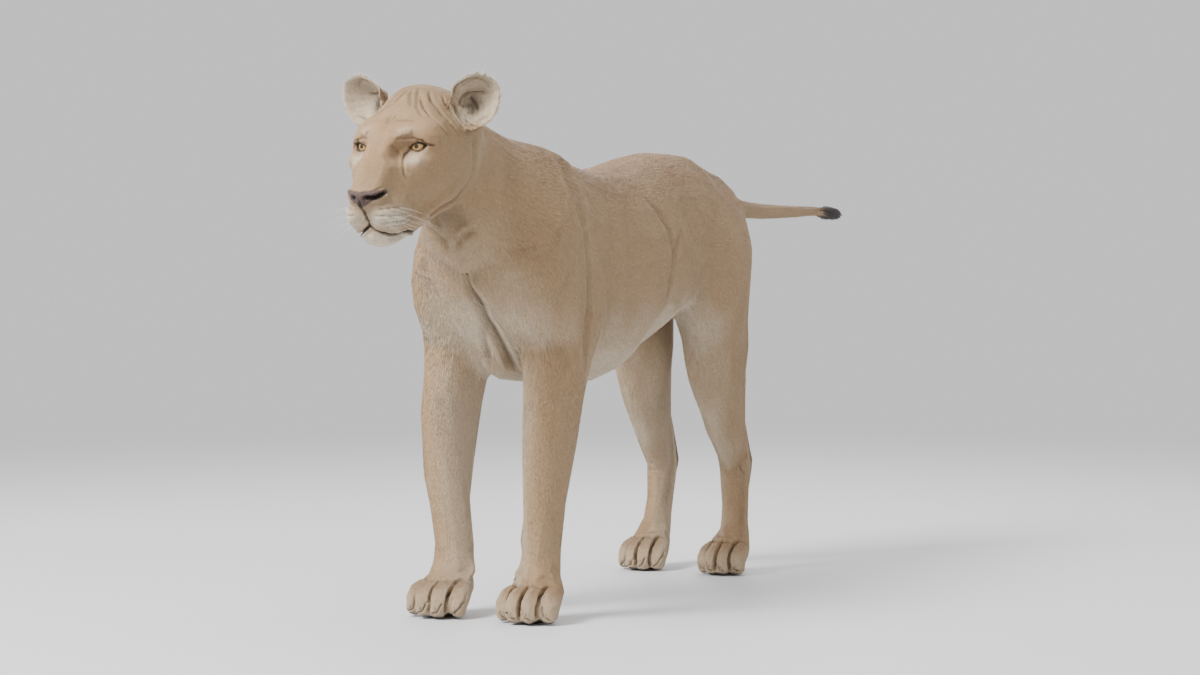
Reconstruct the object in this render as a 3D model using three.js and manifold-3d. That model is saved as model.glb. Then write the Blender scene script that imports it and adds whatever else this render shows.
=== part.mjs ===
// A standing lioness, life size, in millimetres. +Z is up, her nose points along -Y, her left side is +X.
// Her body is one smooth shape, made of limbs (lines of sections) and muscles (ellipsoids) that flow
// into each other. It is divided into named parts by thin flat cuts. Y is measured back from her foretoes.
import * as THREE from 'three';
import { mergeVertices } from 'three/addons/utils/BufferGeometryUtils.js';
import Module from 'manifold-3d';

const wasm = await Module();
wasm.setup();

// ---------------------------------------------------------------- driving dimensions
const gap = 0.3; // clearance between neighbouring parts
const footBase = 975; // foretoes to hind toes
const sole = -8; // the ground, below the zero that her heights are measured from
// a foot: the middle of her to its middle, where its foremost toes start, its size and between its toes
const forefoot = { track: 109.5, back: -20, size: 1, toeSpread: 36.5 };
const hindfoot = { track: 105, back: forefoot.back + footBase, size: 0.92, toeSpread: 30 };
const eyeRadius = 18.5;
const eyeCentre = [60, -336, 993];
const eyeGaze = { out: 22, down: 6 }; // degrees
const eyeOpening = { width: 33, upper: 11, lower: 9, tilt: 8 }; // the slit between the lids
const earBase = [106, -238, 1024];
const earSize = { width: 114, height: 124, depth: 48, rim: 6, root: 10 }; // root is its thickness inside
const earTurn = { out: 16, lean: 24, back: 6 }; // degrees
const tailTip = 1935; // foretoes to the end of her tail

// the grids that her shape is skinned on: finer where she has more detail
const skinBoxes = {
  body: { low: [-250, -260, 60], high: [250, 1290, 1120], cell: [16, 19, 16], triangles: 1930 },
  tail: { low: [-70, 1130, 770], high: [70, tailTip + 30, 930], cell: [9, 14, 9], triangles: 220 },
  head: { low: [-150, -505, 760], high: [150, -60, 1150], cell: [10, 10, 10], triangles: 1330 },
  fore: { low: [15, -50, -30], high: [200, 190, 140], cell: [7, 8, 8], triangles: 304 },
  hind: { low: [20, 915, -30], high: [190, 1140, 140], cell: [7, 8, 8], triangles: 264 },
};
const noseBox = { low: [-56, -484, 852], high: [56, -412, 924], cell: [4.5, 4.5, 4.5], triangles: 220 };

const tawny = new THREE.MeshStandardMaterial({ color: 0xb58a5a, roughness: 0.85, metalness: 0 });
const sand = new THREE.MeshStandardMaterial({ color: 0xd2b48c, roughness: 0.85, metalness: 0 });
const umber = new THREE.MeshStandardMaterial({ color: 0x3a2a1e, roughness: 0.9, metalness: 0 });
const leather = new THREE.MeshStandardMaterial({ color: 0x6b4038, roughness: 0.6, metalness: 0 });
const amber = new THREE.MeshStandardMaterial({ color: 0x9a6a1e, roughness: 0.1, metalness: 0 });
const horn = new THREE.MeshStandardMaterial({ color: 0x4a3f36, roughness: 0.4, metalness: 0 });

// ---------------------------------------------------------------- smooth shapes as distance fields
const radians = THREE.MathUtils.degToRad;

function blend(a, b, width) {
  const h = Math.max(width - Math.abs(a - b), 0) / width;
  return Math.min(a, b) - h * h * width * 0.25;
}

const carve = (a, b, width) => -blend(-a, b, width);

const apart = (p, q) => Math.hypot(p[0] - q[0], p[1] - q[1], p[2] - q[2]);

// An ellipsoid turned by pitch about X, then yaw about Z, in degrees.
function muscle(at, half, pitch = 0, yaw = 0) {
  const turn = new THREE.Euler(radians(pitch), 0, radians(yaw), 'ZYX');
  const m = new THREE.Matrix4().makeRotationFromEuler(turn).invert().elements;
  const [a, b, c] = half;
  const field = (x, y, z) => {
    const dx = x - at[0];
    const dy = y - at[1];
    const dz = z - at[2];
    const u = (m[0] * dx + m[4] * dy + m[8] * dz) / a;
    const v = (m[1] * dx + m[5] * dy + m[9] * dz) / b;
    const w = (m[2] * dx + m[6] * dy + m[10] * dz) / c;
    const near = Math.hypot(u, v, w);
    const steep = Math.hypot(u / a, v / b, w / c);
    return steep < 1e-9 ? -Math.min(a, b, c) : near * (near - 1) / steep;
  };
  return { field, at, reach: Math.max(a, b, c) };
}

// A smooth run of values through the stations, cut into steps of equal parameter.
function smoothRun(stations, stepsPerSpan) {
  const run = [];
  const last = stations.length - 1;
  for (let i = 0; i < last; i += 1) {
    const four = [i - 1, i, i + 1, i + 2].map((n) => stations[THREE.MathUtils.clamp(n, 0, last)]);
    for (let s = 0; s < stepsPerSpan; s += 1) {
      const t = s / stepsPerSpan;
      run.push(four[0].map((_, k) => {
        const [p, q, r, e] = four.map((station) => station[k]);
        const [square, cube] = [2 * p - 5 * q + 4 * r - e, 3 * q - p - 3 * r + e];
        return 0.5 * (2 * q + (r - p) * t + square * t * t + cube * t ** 3);
      }));
    }
  }
  run.push(stations[last]);
  return run;
}

// A limb follows a line of stations [x, y, z, half width, half depth], with rounded ends.
function limb(stations, power = 2) {
  const run = smoothRun(stations, 4);
  const spans = [];
  for (let i = 0; i + 1 < run.length; i += 1) {
    const [a, b] = [run[i], run[i + 1]];
    const along = new THREE.Vector3(b[0] - a[0], b[1] - a[1], b[2] - a[2]);
    const length = along.length();
    along.divideScalar(length);
    const side = new THREE.Vector3(1, 0, 0).addScaledVector(along, -along.x).normalize();
    const deep = new THREE.Vector3().crossVectors(along, side);
    const reach = length / 2 + Math.max(a[3], a[4], b[3], b[4]);
    spans.push({ a, b, along, side, deep, length, reach });
  }
  const [first, last] = [run[0], run[run.length - 1]];
  const at = [0, 1, 2].map((k) => (first[k] + last[k]) / 2);
  const whole = Math.max(...run.map((s) => apart(s, at) + Math.max(s[3], s[4])));
  const field = (x, y, z) => {
    let best = Infinity;
    for (const { a, b, along, side, deep, length, reach } of spans) {
      const far = Math.hypot(x - (a[0] + b[0]) / 2, y - (a[1] + b[1]) / 2, z - (a[2] + b[2]) / 2) - reach;
      if (far < best) {
        const [dx, dy, dz] = [x - a[0], y - a[1], z - a[2]];
        const ahead = dx * along.x + dy * along.y + dz * along.z;
        const t = Math.min(Math.max(ahead / length, 0), 1);
        const [rs, rd] = [a[3] + (b[3] - a[3]) * t, a[4] + (b[4] - a[4]) * t];
        const u = Math.abs(dx * side.x + dy * side.y + dz * side.z) / rs;
        const v = Math.abs(dx * deep.x + dy * deep.y + dz * deep.z) / rd;
        const w = Math.abs(ahead - t * length) / Math.min(rs, rd);
        const near = (u ** power + v ** power + w ** power) ** (1 / power);
        const away = Math.hypot(u * rs, v * rd, w * Math.min(rs, rd));
        best = Math.min(best, near < 1e-6 ? -Math.min(rs, rd) : away * (1 - 1 / near));
      }
    }
    return best;
  };
  return { field, at, reach: whole };
}

// Joins a list of [shape, blend width] in order. A shape too far off to matter is skipped. Paired shapes
// are on both her sides.
function joined(shapes, paired = false) {
  const field = (px, y, z) => {
    const x = paired ? Math.abs(px) : px;
    let all = 1e4;
    for (const [shape, width] of shapes) {
      const { at, reach } = shape;
      if (Math.hypot(x - at[0], y - at[1], z - at[2]) - reach < all + width) {
        all = blend(all, shape.field(x, y, z), width);
      }
    }
    return all;
  };
  const mean = (k) => shapes.reduce((sum, [s]) => sum + s.at[k], 0) / shapes.length;
  const at = [paired ? 0 : mean(0), mean(1), mean(2)];
  const reach = Math.max(...shapes.map(([s]) => apart(s.at, at) + s.reach));
  return { field, at, reach };
}

const pair = (shape) => joined([[shape, 1]], true);

// ---------------------------------------------------------------- trunk, neck and tail
// stations of the trunk: distance back, underside height, back height, half width
const trunkStations = [
  [10, 640, 930, 92],
  [90, 588, 982, 122],
  [190, 540, 996, 148],
  [300, 506, 968, 169],
  [420, 476, 946, 183],
  [540, 474, 948, 187],
  [650, 510, 962, 178],
  [760, 578, 976, 157],
  [870, 642, 986, 140],
  [980, 672, 984, 132],
  [1070, 700, 962, 112],
  [1135, 740, 926, 82],
];

const trunk = limb(
  trunkStations.map(([y, low, high, half]) => [0, y, (low + high) / 2, half, (high - low) / 2]),
  2.25,
);

// the breastbone's keel, hanging between the forelegs
const keel = limb([
  [0, 40, 650, 34, 44],
  [0, 125, 562, 42, 62],
  [0, 215, 546, 50, 60],
  [0, 330, 546, 66, 66],
  [0, 430, 560, 88, 84],
]);

const neck = limb([
  [0, -190, 985, 86, 96],
  [0, -110, 962, 90, 108],
  [0, -20, 915, 104, 128],
  [0, 80, 850, 130, 150],
], 2.1);

const tail = limb([
  [0, 1100, 880, 46, 46],
  [0, 1190, 872, 36, 36],
  [0, 1290, 853, 28, 28],
  [0, 1450, 844, 23, 23],
  [0, 1620, 842, 20, 20],
  [0, 1760, 842, 17, 17],
  [0, 1830, 842, 25, 25],
  [0, 1880, 840, 24, 24],
  [0, tailTip - 8, 836, 8, 8],
]);

// ---------------------------------------------------------------- legs
const foreleg = limb([
  [124, 178, 620, 56, 90],
  [122, 150, 530, 62, 95],
  [120, 131, 470, 61, 92],
  [119, 117, 400, 56, 85],
  [118, 103, 320, 50, 74],
  [115, 93, 240, 45, 57],
  [110, 95, 180, 42, 48],
  [107, 95, 140, 42, 45],
  [107, 88, 95, 43, 43],
], 2.15);

const hindleg = limb([
  [93, 985, 760, 60, 136],
  [102, 968, 640, 64, 126],
  [102, 980, 540, 59, 114],
  [100, 998, 450, 50, 103],
  [99, 1026, 380, 41, 84],
  [98, 1060, 315, 33, 54],
  [97, 1088, 250, 33, 46],
  [98, 1088, 180, 31, 42],
  [102, 1078, 120, 32, 42],
  [105, 1066, 80, 36, 40],
], 2.1);

const heel = limb([
  [98, 1100, 350, 20, 28],
  [97, 1136, 290, 15, 19],
  [98, 1151, 247, 19, 21],
  [98, 1118, 212, 18, 20],
]);

const legMuscles = [
  [muscle([82, 168, 876], [52, 86, 104], -20), 50], // upper shoulder blade
  [muscle([116, 132, 790], [66, 98, 120], -18), 50], // lower shoulder blade
  [muscle([130, 78, 690], [56, 72, 110], 10), 50], // point of the shoulder
  [muscle([132, 200, 655], [54, 86, 112], 24), 45], // triceps
  [foreleg, 45],
  [muscle([70, 92, 166], [14, 20, 26]), 22], // inner side of the wrist
  [muscle([110, 940, 700], [58, 108, 150], -20), 60], // thigh
  [muscle([106, 868, 660], [48, 62, 96], -12), 55], // knee and flank fold
  [muscle([72, 1036, 765], [64, 106, 140], -12), 45], // seat
  [hindleg, 50],
  [heel, 18],
];

// ---------------------------------------------------------------- feet
// four toes round a broad pad; the outer two are set back
const footShape = { knuckle: 50, outerBack: 22, toeRadius: 21 };

function footShapes({ track, back, size, toeSpread }) {
  const shapes = [];
  const { knuckle, outerBack, toeRadius } = footShape;
  const up = (height) => sole + (height - sole) * size;
  for (const place of [-1.5, -0.5, 0.5, 1.5]) {
    const x = track + place * toeSpread;
    const set = back + (Math.abs(place) > 1 ? outerBack * size : 0);
    const lean = -place * 6 * size;
    const r = toeRadius * size;
    shapes.push([limb([
      [x + lean * 2, set + 86 * size, up(knuckle + 6), r * 0.85, r * 0.9],
      [x + lean * 0.6, set + 50 * size, up(knuckle), r * 0.95, r],
      [x, set + 26 * size, up(knuckle - 14), r * 0.97, r * 1.06],
      [x, set + 19 * size, up(knuckle - 37), r * 0.93, r * 0.95],
    ]), 7 * size]);
  }
  shapes.push([muscle([track, back + 80 * size, up(22)], [47 * size, 44 * size, 36 * size], -6), 24 * size]);
  shapes.push([muscle([track, back + 94 * size, up(64)], [42 * size, 40 * size, 38 * size], 12), 20 * size]);
  return shapes;
}

// the small inner toe that stays off the ground
const dewTip = [forefoot.track - 54, forefoot.back + 100, 84];
const dewToe = limb([
  [forefoot.track - 36, forefoot.back + 118, 118, 13, 15],
  [forefoot.track - 49, forefoot.back + 109, 99, 12, 14],
  [...dewTip, 9, 10],
]);

// ---------------------------------------------------------------- head
const headShapes = [
  [muscle([0, -222, 1038], [86, 96, 84]), 20], // braincase
  [pair(muscle([60, -252, 958], [60, 92, 78])), 50], // cheek
  [pair(muscle([56, -318, 1012], [41, 50, 34], 24, -14)), 34], // brow
  [limb([
    [0, -306, 1026, 54, 36],
    [0, -352, 1006, 42, 32],
    [0, -402, 946, 41, 33],
    [0, -438, 894, 36, 26],
  ], 2.5), 30], // bridge of the nose
  [pair(muscle([52, -326, 942], [38, 62, 52], 34)), 40], // face below the eye
  [muscle([0, -366, 886], [60, 70, 50], 36), 30], // muzzle
  [pair(muscle([30, -403, 858], [32, 43, 33], 0, -12)), 20], // whisker pads
  [muscle([0, -386, 817], [29, 33, 26]), 20], // chin
  [pair(limb([
    [20, -382, 826, 20, 22],
    [37, -338, 840, 25, 24],
    [56, -268, 902, 34, 36],
  ])), 34], // lower jaw
  [pair(muscle([80, -172, 1056], [32, 30, 46])), 34], // root of the ear
];

// the eyes are sunk: a hollow runs down from under the brow to the inner corner of each
const sockets = pair(muscle([54, -385, 984], [22, 24, 17], 0, -24));
const skullShape = joined(headShapes);
const headShape = {
  ...skullShape,
  field: (x, y, z) => carve(skullShape.field(x, y, z), sockets.field(x, y, z), 22),
};

const body = joined([
  [trunk, 20],
  [neck, 90],
  [keel, 36],
  ...legMuscles.map(([shape, width]) => [pair(shape), width]),
  [headShape, 60],
  [joined(footShapes(forefoot), true), 22],
  [pair(dewToe), 12],
  [joined(footShapes(hindfoot), true), 22],
  [tail, 30],
]);

// ---------------------------------------------------------------- from fields to solids
// corner n of a cell stands at the bits of n, and edge [n, axis] runs from it along that axis
const corners = Array.from({ length: 8 }, (_, n) => [n & 1, (n >> 1) & 1, (n >> 2) & 1]);
const edgesFrom = (n) => [0, 1, 2].filter((axis) => !corners[n][axis]).map((axis) => [n, n | (1 << axis)]);
const edges = corners.flatMap((_, n) => edgesFrom(n));
const edgeFrom = (a, b) => edges.findIndex((ends) => ends.includes(a) && ends.includes(b));
const cellFaces = [0, 1, 2].flatMap((axis) => [0, 1].map((side) => {
  const [u, w] = [1 << ((axis + 1) % 3), 1 << ((axis + 2) % 3)];
  const first = side << axis;
  return [first, first | u, first | u | w, first | w];
}));

// Sorts the crossed edges of a cell into the separate sheets of surface that pass through it.
function sheetsOf(inside) {
  const sheet = edges.map(([a, b], n) => (inside[a] !== inside[b] ? n : -1));
  const join = (m, n) => {
    const [from, to] = [sheet[m], sheet[n]];
    sheet.forEach((v, i) => {
      if (v === from) sheet[i] = to;
    });
  };
  for (const face of cellFaces) {
    const sides = face.map((a, n) => edgeFrom(a, face[(n + 1) % 4]));
    const crossed = sides.filter((n) => sheet[n] >= 0);
    if (crossed.length === 2) join(...crossed);
    if (crossed.length === 4) {
      face.forEach((a, n) => {
        if (inside[a]) join(sides[n], sides[(n + 3) % 4]);
      });
    }
  }
  return sheet;
}

const insideOf = (code) => corners.map((_, n) => Boolean(code & (1 << n)));
const sheetTable = Array.from({ length: 256 }, (_, code) => sheetsOf(insideOf(code)));

function slope(field, p, step) {
  return [0, 1, 2].map((k) => {
    const [a, b] = [[...p], [...p]];
    a[k] += step;
    b[k] -= step;
    return (field(...a) - field(...b)) / (2 * step);
  });
}

// Slides a point onto the surface of the field, at most by a part of a cell.
function settle(field, start, cell) {
  const most = 0.6;
  let p = [...start];
  for (let turn = 0; turn < 4; turn += 1) {
    const d = field(...p);
    const g = slope(field, p, 0.5);
    const size = Math.max(g[0] ** 2 + g[1] ** 2 + g[2] ** 2, 0.2);
    p = p.map((v, k) => v - d * g[k] / size);
  }
  return p.map((v, k) => THREE.MathUtils.clamp(v, start[k] - most * cell[k], start[k] + most * cell[k]));
}

// Skins the field inside a box: one vertex for each cell that the surface crosses, one quad for each grid
// edge that it crosses. The box's outermost samples count as outside, which closes the skin.
function skinOf(field, low, high, cell) {
  const count = low.map((v, k) => Math.max(Math.ceil((high[k] - v) / cell[k] / 2), 2) * 2 + 1);
  const middle = low.map((v, k) => (v + high[k]) / 2);
  const place = (i, k) => middle[k] + (i - (count[k] - 1) / 2) * cell[k];
  const index = (i, j, k) => (k * count[1] + j) * count[0] + i;
  const value = new Float64Array(count[0] * count[1] * count[2]);
  for (let k = 0; k < count[2]; k += 1) {
    for (let j = 0; j < count[1]; j += 1) {
      for (let i = 0; i < count[0]; i += 1) {
        const rim = [i, j, k].some((n, axis) => n === 0 || n === count[axis] - 1);
        const d = field(place(i, 0), place(j, 1), place(k, 2));
        value[index(i, j, k)] = rim ? Math.max(d, 1) : d;
      }
    }
  }
  const vertexOf = new Map();
  const points = [];
  for (let k = 0; k + 1 < count[2]; k += 1) {
    for (let j = 0; j + 1 < count[1]; j += 1) {
      for (let i = 0; i + 1 < count[0]; i += 1) {
        const v = corners.map((c) => value[index(i + c[0], j + c[1], k + c[2])]);
        const sheet = sheetTable[v.reduce((code, d, n) => code | (d < 0 ? 1 << n : 0), 0)];
        const grid = [i, j, k];
        const rim = grid.some((n, axis) => n === 0 || n === count[axis] - 2);
        for (const one of new Set(sheet.filter((n) => n >= 0))) {
          const crossed = edges.filter((_, n) => sheet[n] === one);
          const sum = [0, 0, 0];
          for (const [a, b] of crossed) {
            const t = v[a] / (v[a] - v[b]);
            for (let n = 0; n < 3; n += 1) sum[n] += corners[a][n] + t * (corners[b][n] - corners[a][n]);
          }
          const p = sum.map((s, n) => place(grid[n] + s / crossed.length, n));
          sheet.forEach((other, n) => {
            if (other === one) vertexOf.set(index(i, j, k) * 12 + n, points.length);
          });
          points.push(rim ? p : settle(field, p, cell));
        }
      }
    }
  }
  const faces = [];
  for (let k = 0; k + 1 < count[2]; k += 1) {
    for (let j = 0; j + 1 < count[1]; j += 1) {
      for (let i = 0; i + 1 < count[0]; i += 1) {
        for (let axis = 0; axis < 3; axis += 1) {
          const next = [i, j, k];
          next[axis] += 1;
          const [here, there] = [value[index(i, j, k)], value[index(...next)]];
          if ((here < 0) !== (there < 0)) {
            const [u, w] = [(axis + 1) % 3, (axis + 2) % 3];
            const around = [[1, 1], [0, 1], [0, 0], [1, 0]].map(([du, dw]) => {
              const cellAt = [i, j, k];
              cellAt[u] -= du;
              cellAt[w] -= dw;
              const first = (du << u) | (dw << w);
              return vertexOf.get(index(...cellAt) * 12 + edgeFrom(first, first | (1 << axis)));
            });
            if (here >= 0) around.reverse();
            const [a, b, c, d] = around;
            const shorter = apart(points[a], points[c]) < apart(points[b], points[d]);
            if (shorter) faces.push(a, b, c, a, c, d);
            else faces.push(b, c, d, b, d, a);
          }
        }
      }
    }
  }
  return { points, faces };
}

// Adds a plane, a x + b y + c z + d, to the ten sums of a vertex's squared distances to its planes.
function addPlane(sums, [a, b, c, d], weight) {
  [a * a, a * b, a * c, a * d, b * b, b * c, b * d, c * c, c * d, d * d].forEach((v, i) => {
    sums[i] += v * weight;
  });
}

function planeError(s, [x, y, z]) {
  const first = s[0] * x * x + 2 * s[1] * x * y + 2 * s[2] * x * z + 2 * s[3] * x + s[4] * y * y;
  return first + 2 * s[5] * y * z + 2 * s[6] * y + s[7] * z * z + 2 * s[8] * z + s[9];
}

function faceNormal(p, q, r) {
  const [ux, uy, uz] = [q[0] - p[0], q[1] - p[1], q[2] - p[2]];
  const [vx, vy, vz] = [r[0] - p[0], r[1] - p[1], r[2] - p[2]];
  return [uy * vz - uz * vy, uz * vx - ux * vz, ux * vy - uy * vx];
}

const evenness = 3e-5; // how much long edges are kept, against a small error
const turnShare = 0.24; // the share of the edges that one turn may merge
const leastTurn = 0.3; // cosine of the most that a face may turn in one merge
const leastArea = 4; // twice the smallest triangle, in square millimetres

// Thins a skin to about a number of triangles: it merges the two ends of an edge wherever that moves the
// surface least, so that flat stretches end with few, long triangles and small features keep theirs.
function thinned({ points, faces }, target) {
  let live = [];
  for (let n = 0; n < faces.length; n += 3) live.push([faces[n], faces[n + 1], faces[n + 2]]);
  const sums = points.map(() => new Float64Array(10));
  for (const face of live) {
    const [p, q, r] = face.map((n) => points[n]);
    const normal = faceNormal(p, q, r);
    const size = Math.hypot(...normal) || 1;
    const [a, b, c] = normal.map((v) => v / size);
    const plane = [a, b, c, -(a * p[0] + b * p[1] + c * p[2])];
    for (const n of face) addPlane(sums[n], plane, size);
  }
  while (live.length > target) {
    const around = points.map(() => []);
    live.forEach((face, n) => face.forEach((v) => around[v].push(n)));
    const choices = [];
    for (const face of live) {
      for (let n = 0; n < 3; n += 1) {
        const [a, b] = [face[n], face[(n + 1) % 3]];
        if (a < b) {
          const both = sums[a].map((v, i) => v + sums[b][i]);
          const middle = points[a].map((v, i) => (v + points[b][i]) / 2);
          const length = apart(points[a], points[b]);
          const spots = [points[a], points[b], middle].map((at) => ({ at, error: planeError(both, at) }));
          const best = spots.reduce((m, s) => (s.error < m.error ? s : m));
          choices.push({ a, b, at: best.at, cost: best.error + evenness * length ** 4 });
        }
      }
    }
    choices.sort((m, n) => m.cost - n.cost);
    const moved = new Uint8Array(points.length);
    const gone = new Set();
    const most = Math.ceil(Math.max(choices.length * turnShare, 2));
    for (const { a, b, at } of choices.slice(0, most)) {
      if (live.length - gone.size <= target || gone.size > most) break;
      const [ringA, ringB] = [a, b].map((v) => new Set(around[v].flatMap((n) => live[n])));
      const shared = [...ringA].filter((v) => ringB.has(v) && v !== a && v !== b);
      const near = [...ringA, ...ringB];
      const free = shared.length === 2 && near.every((v) => !moved[v]);
      const steady = () => [...around[a], ...around[b]].every((n) => {
        const face = live[n];
        if (face.includes(a) && face.includes(b)) return true;
        const was = faceNormal(...face.map((v) => points[v]));
        const is = faceNormal(...face.map((v) => (v === a || v === b ? at : points[v])));
        const dot = was[0] * is[0] + was[1] * is[1] + was[2] * is[2];
        return dot > leastTurn * Math.hypot(...was) * Math.hypot(...is) && Math.hypot(...is) > leastArea;
      });
      if (free && steady()) {
        points[a] = at;
        sums[a] = sums[a].map((v, i) => v + sums[b][i]);
        for (const n of around[b]) {
          if (live[n].includes(a)) gone.add(n);
          else live[n] = live[n].map((v) => (v === b ? a : v));
        }
        near.forEach((v) => {
          moved[v] = 1;
        });
      }
    }
    if (!gone.size) break;
    live = live.filter((_, n) => !gone.has(n));
  }
  const used = [...new Set(live.flat())];
  const slot = new Map(used.map((v, n) => [v, n]));
  return { points: used.map((v) => points[v]), faces: live.flat().map((v) => slot.get(v)) };
}

function manifoldOf({ points, faces }) {
  return new wasm.Manifold(new wasm.Mesh({
    numProp: 3,
    vertProperties: new Float32Array(points.flat()),
    triVerts: new Uint32Array(faces),
  }));
}

function solidOf(geometry, matrix = new THREE.Matrix4()) {
  const bare = geometry.clone().applyMatrix4(matrix);
  bare.deleteAttribute('normal');
  bare.deleteAttribute('uv');
  const merged = mergeVertices(bare, 1e-3);
  return new wasm.Manifold(new wasm.Mesh({
    numProp: 3,
    vertProperties: new Float32Array(merged.attributes.position.array),
    triVerts: new Uint32Array(merged.index.array),
  }));
}

// The side of a plane that its direction points to, as one huge block. A start moved along by the gap
// leaves the clearance.
function sideOf(point, direction, offset = 0) {
  const size = 6000;
  const ahead = new THREE.Vector3(...direction).normalize();
  const centre = new THREE.Vector3(...point).addScaledVector(ahead, size / 2 + offset);
  const turn = new THREE.Quaternion().setFromUnitVectors(new THREE.Vector3(0, 0, 1), ahead);
  const matrix = new THREE.Matrix4().compose(centre, turn, new THREE.Vector3(1, 1, 1));
  return solidOf(new THREE.BoxGeometry(size, size, size), matrix);
}

function keepLargest(solid) {
  return solid.decompose().reduce((best, piece) => (piece.volume() > best.volume() ? piece : best));
}

const lioness = new THREE.Group();

// The same solid on her other side.
function flipped(solid) {
  const { vertProperties, triVerts, numProp } = solid.getMesh();
  const points = vertProperties.map((v, i) => (i % numProp === 0 ? -v : v));
  const mesh = new wasm.Mesh({ numProp, vertProperties: points, triVerts: triVerts.toReversed() });
  return new wasm.Manifold(mesh);
}

function place(name, solid, material) {
  const { vertProperties, triVerts } = solid.getMesh();
  const geometry = new THREE.BufferGeometry();
  geometry.setAttribute('position', new THREE.BufferAttribute(vertProperties, 3));
  geometry.setIndex(new THREE.BufferAttribute(triVerts, 1));
  geometry.computeVertexNormals();
  const mesh = new THREE.Mesh(geometry, material);
  mesh.name = name;
  lioness.add(mesh);
}

function placePair(name, solid, material) {
  place(`${name}_left`, solid, material);
  place(`${name}_right`, flipped(solid), material);
}

// ---------------------------------------------------------------- where the parts divide
// Each cut is a point of its plane and the direction toward the tail, the outside or the ground.
const cuts = {
  nape: [[0, -118, 960], [0, 1, -0.42]],
  withers: [[0, 40, 860], [0, 1, -0.25]],
  ribs: [[0, 372, 700], [0, 1, 0]],
  loin: [[0, 792, 750], [0, 1, 0]],
  tailRoot: [[0, 1205, 865], [0, 1, -0.12]],
  tailThird: [[0, 1440, 843], [0, 1, 0]],
  tuft: [[0, 1760, 842], [0, 1, 0]],
  shoulder: [[112, 180, 700], [1, 0, 0.08]],
  thigh: [[86, 1000, 760], [1, 0, -0.4]],
  elbow: [[126, 150, 478], [0, 0, -1]],
  wrist: [[118, 80, 165], [0, 0, -1]],
  ankle: [[118, 80, 98], [0, 0.15, -1]],
  knee: [[106, 1000, 505], [0, 0.1, -1]],
  hock: [[98, 1090, 285], [0, 0.2, -1]],
  fetlock: [[105, 1080, 92], [0, 0.2, -1]],
  mouth: [[0, -430, 838], [0, -0.19, -1]],
};
const after = (cut) => sideOf(...cuts[cut], gap / 2);
const before = (cut) => sideOf(cuts[cut][0], cuts[cut][1].map((v) => -v), gap / 2);

// a skin moved outward by a little
function grown({ points, faces }, amount) {
  const normals = points.map(() => [0, 0, 0]);
  for (let n = 0; n < faces.length; n += 3) {
    const face = faces.slice(n, n + 3);
    const normal = faceNormal(...face.map((v) => points[v]));
    face.forEach((v) => normal.forEach((d, k) => {
      normals[v][k] += d;
    }));
  }
  const moved = (p, normal) => p.map((v, k) => v + amount * normal[k] / Math.hypot(...normal));
  return { points: points.map((p, n) => moved(p, normals[n])), faces };
}

const skins = {};
for (const [name, { low, high, cell, triangles }] of Object.entries(skinBoxes)) {
  skins[name] = thinned(skinOf(body.field, low, high, cell), triangles);
}
const whole = Object.fromEntries(Object.entries(skins).map(([name, skin]) => [name, manifoldOf(skin)]));

// a part of one of the skins, cut out by its planes
function piece(skin, ...sides) {
  return keepLargest(sides.reduce((solid, side) => solid.intersect(side), whole[skin]));
}

const midline = sideOf([0, 0, 0], [1, 0, 0], 1);

// ---------------------------------------------------------------- eyes, nose, ears, claws
// a frame whose +Z is the way the eye looks, +X outward and +Y up
function eyeFrame(roll = 0) {
  const [out, down] = [radians(eyeGaze.out), radians(eyeGaze.down)];
  const ahead = new THREE.Vector3(Math.sin(out), -Math.cos(out), -Math.sin(down)).normalize();
  const side = new THREE.Vector3(Math.cos(out), Math.sin(out), 0);
  const up = new THREE.Vector3().crossVectors(ahead, side);
  const frame = new THREE.Matrix4().makeBasis(side, up, ahead).setPosition(...eyeCentre);
  return frame.multiply(new THREE.Matrix4().makeRotationZ(roll));
}

const eyeball = (radius) => solidOf(new THREE.SphereGeometry(radius, 12, 8), eyeFrame());

// the slit between the lids: two arcs from corner to corner, the outer corner a little higher
function eyeSlit() {
  const { width, upper, lower, tilt } = eyeOpening;
  const half = width / 2;
  const outline = new THREE.Shape();
  outline.moveTo(-half, 0);
  outline.quadraticCurveTo(0, -2 * lower, half, 0);
  outline.quadraticCurveTo(0, 2 * upper, -half, 0);
  const prism = new THREE.ExtrudeGeometry(outline, { depth: 60, bevelEnabled: false, curveSegments: 5 });
  return solidOf(prism, eyeFrame(radians(tilt)));
}

// the leather of the nose: a pad and two wings, with a slit for each nostril
const nosePad = joined([
  [limb([
    [-38, -433, 896, 9, 9],
    [-22, -448, 897, 14, 13],
    [0, -455, 897, 16, 15],
    [22, -448, 897, 14, 13],
    [38, -433, 896, 9, 9],
  ]), 10],
  [muscle([0, -451, 883], [17, 15, 19]), 16],
]);
const nostril = pair(limb([
  [14, -468, 883, 5, 6],
  [27, -461, 889, 5, 5],
  [40, -445, 897, 3, 3],
]));
const noseField = (x, y, z) => carve(nosePad.field(x, y, z), nostril.field(x, y, z), 4);

const noseSkin = thinned(
  skinOf(noseField, noseBox.low, noseBox.high, noseBox.cell),
  noseBox.triangles,
);

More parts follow.
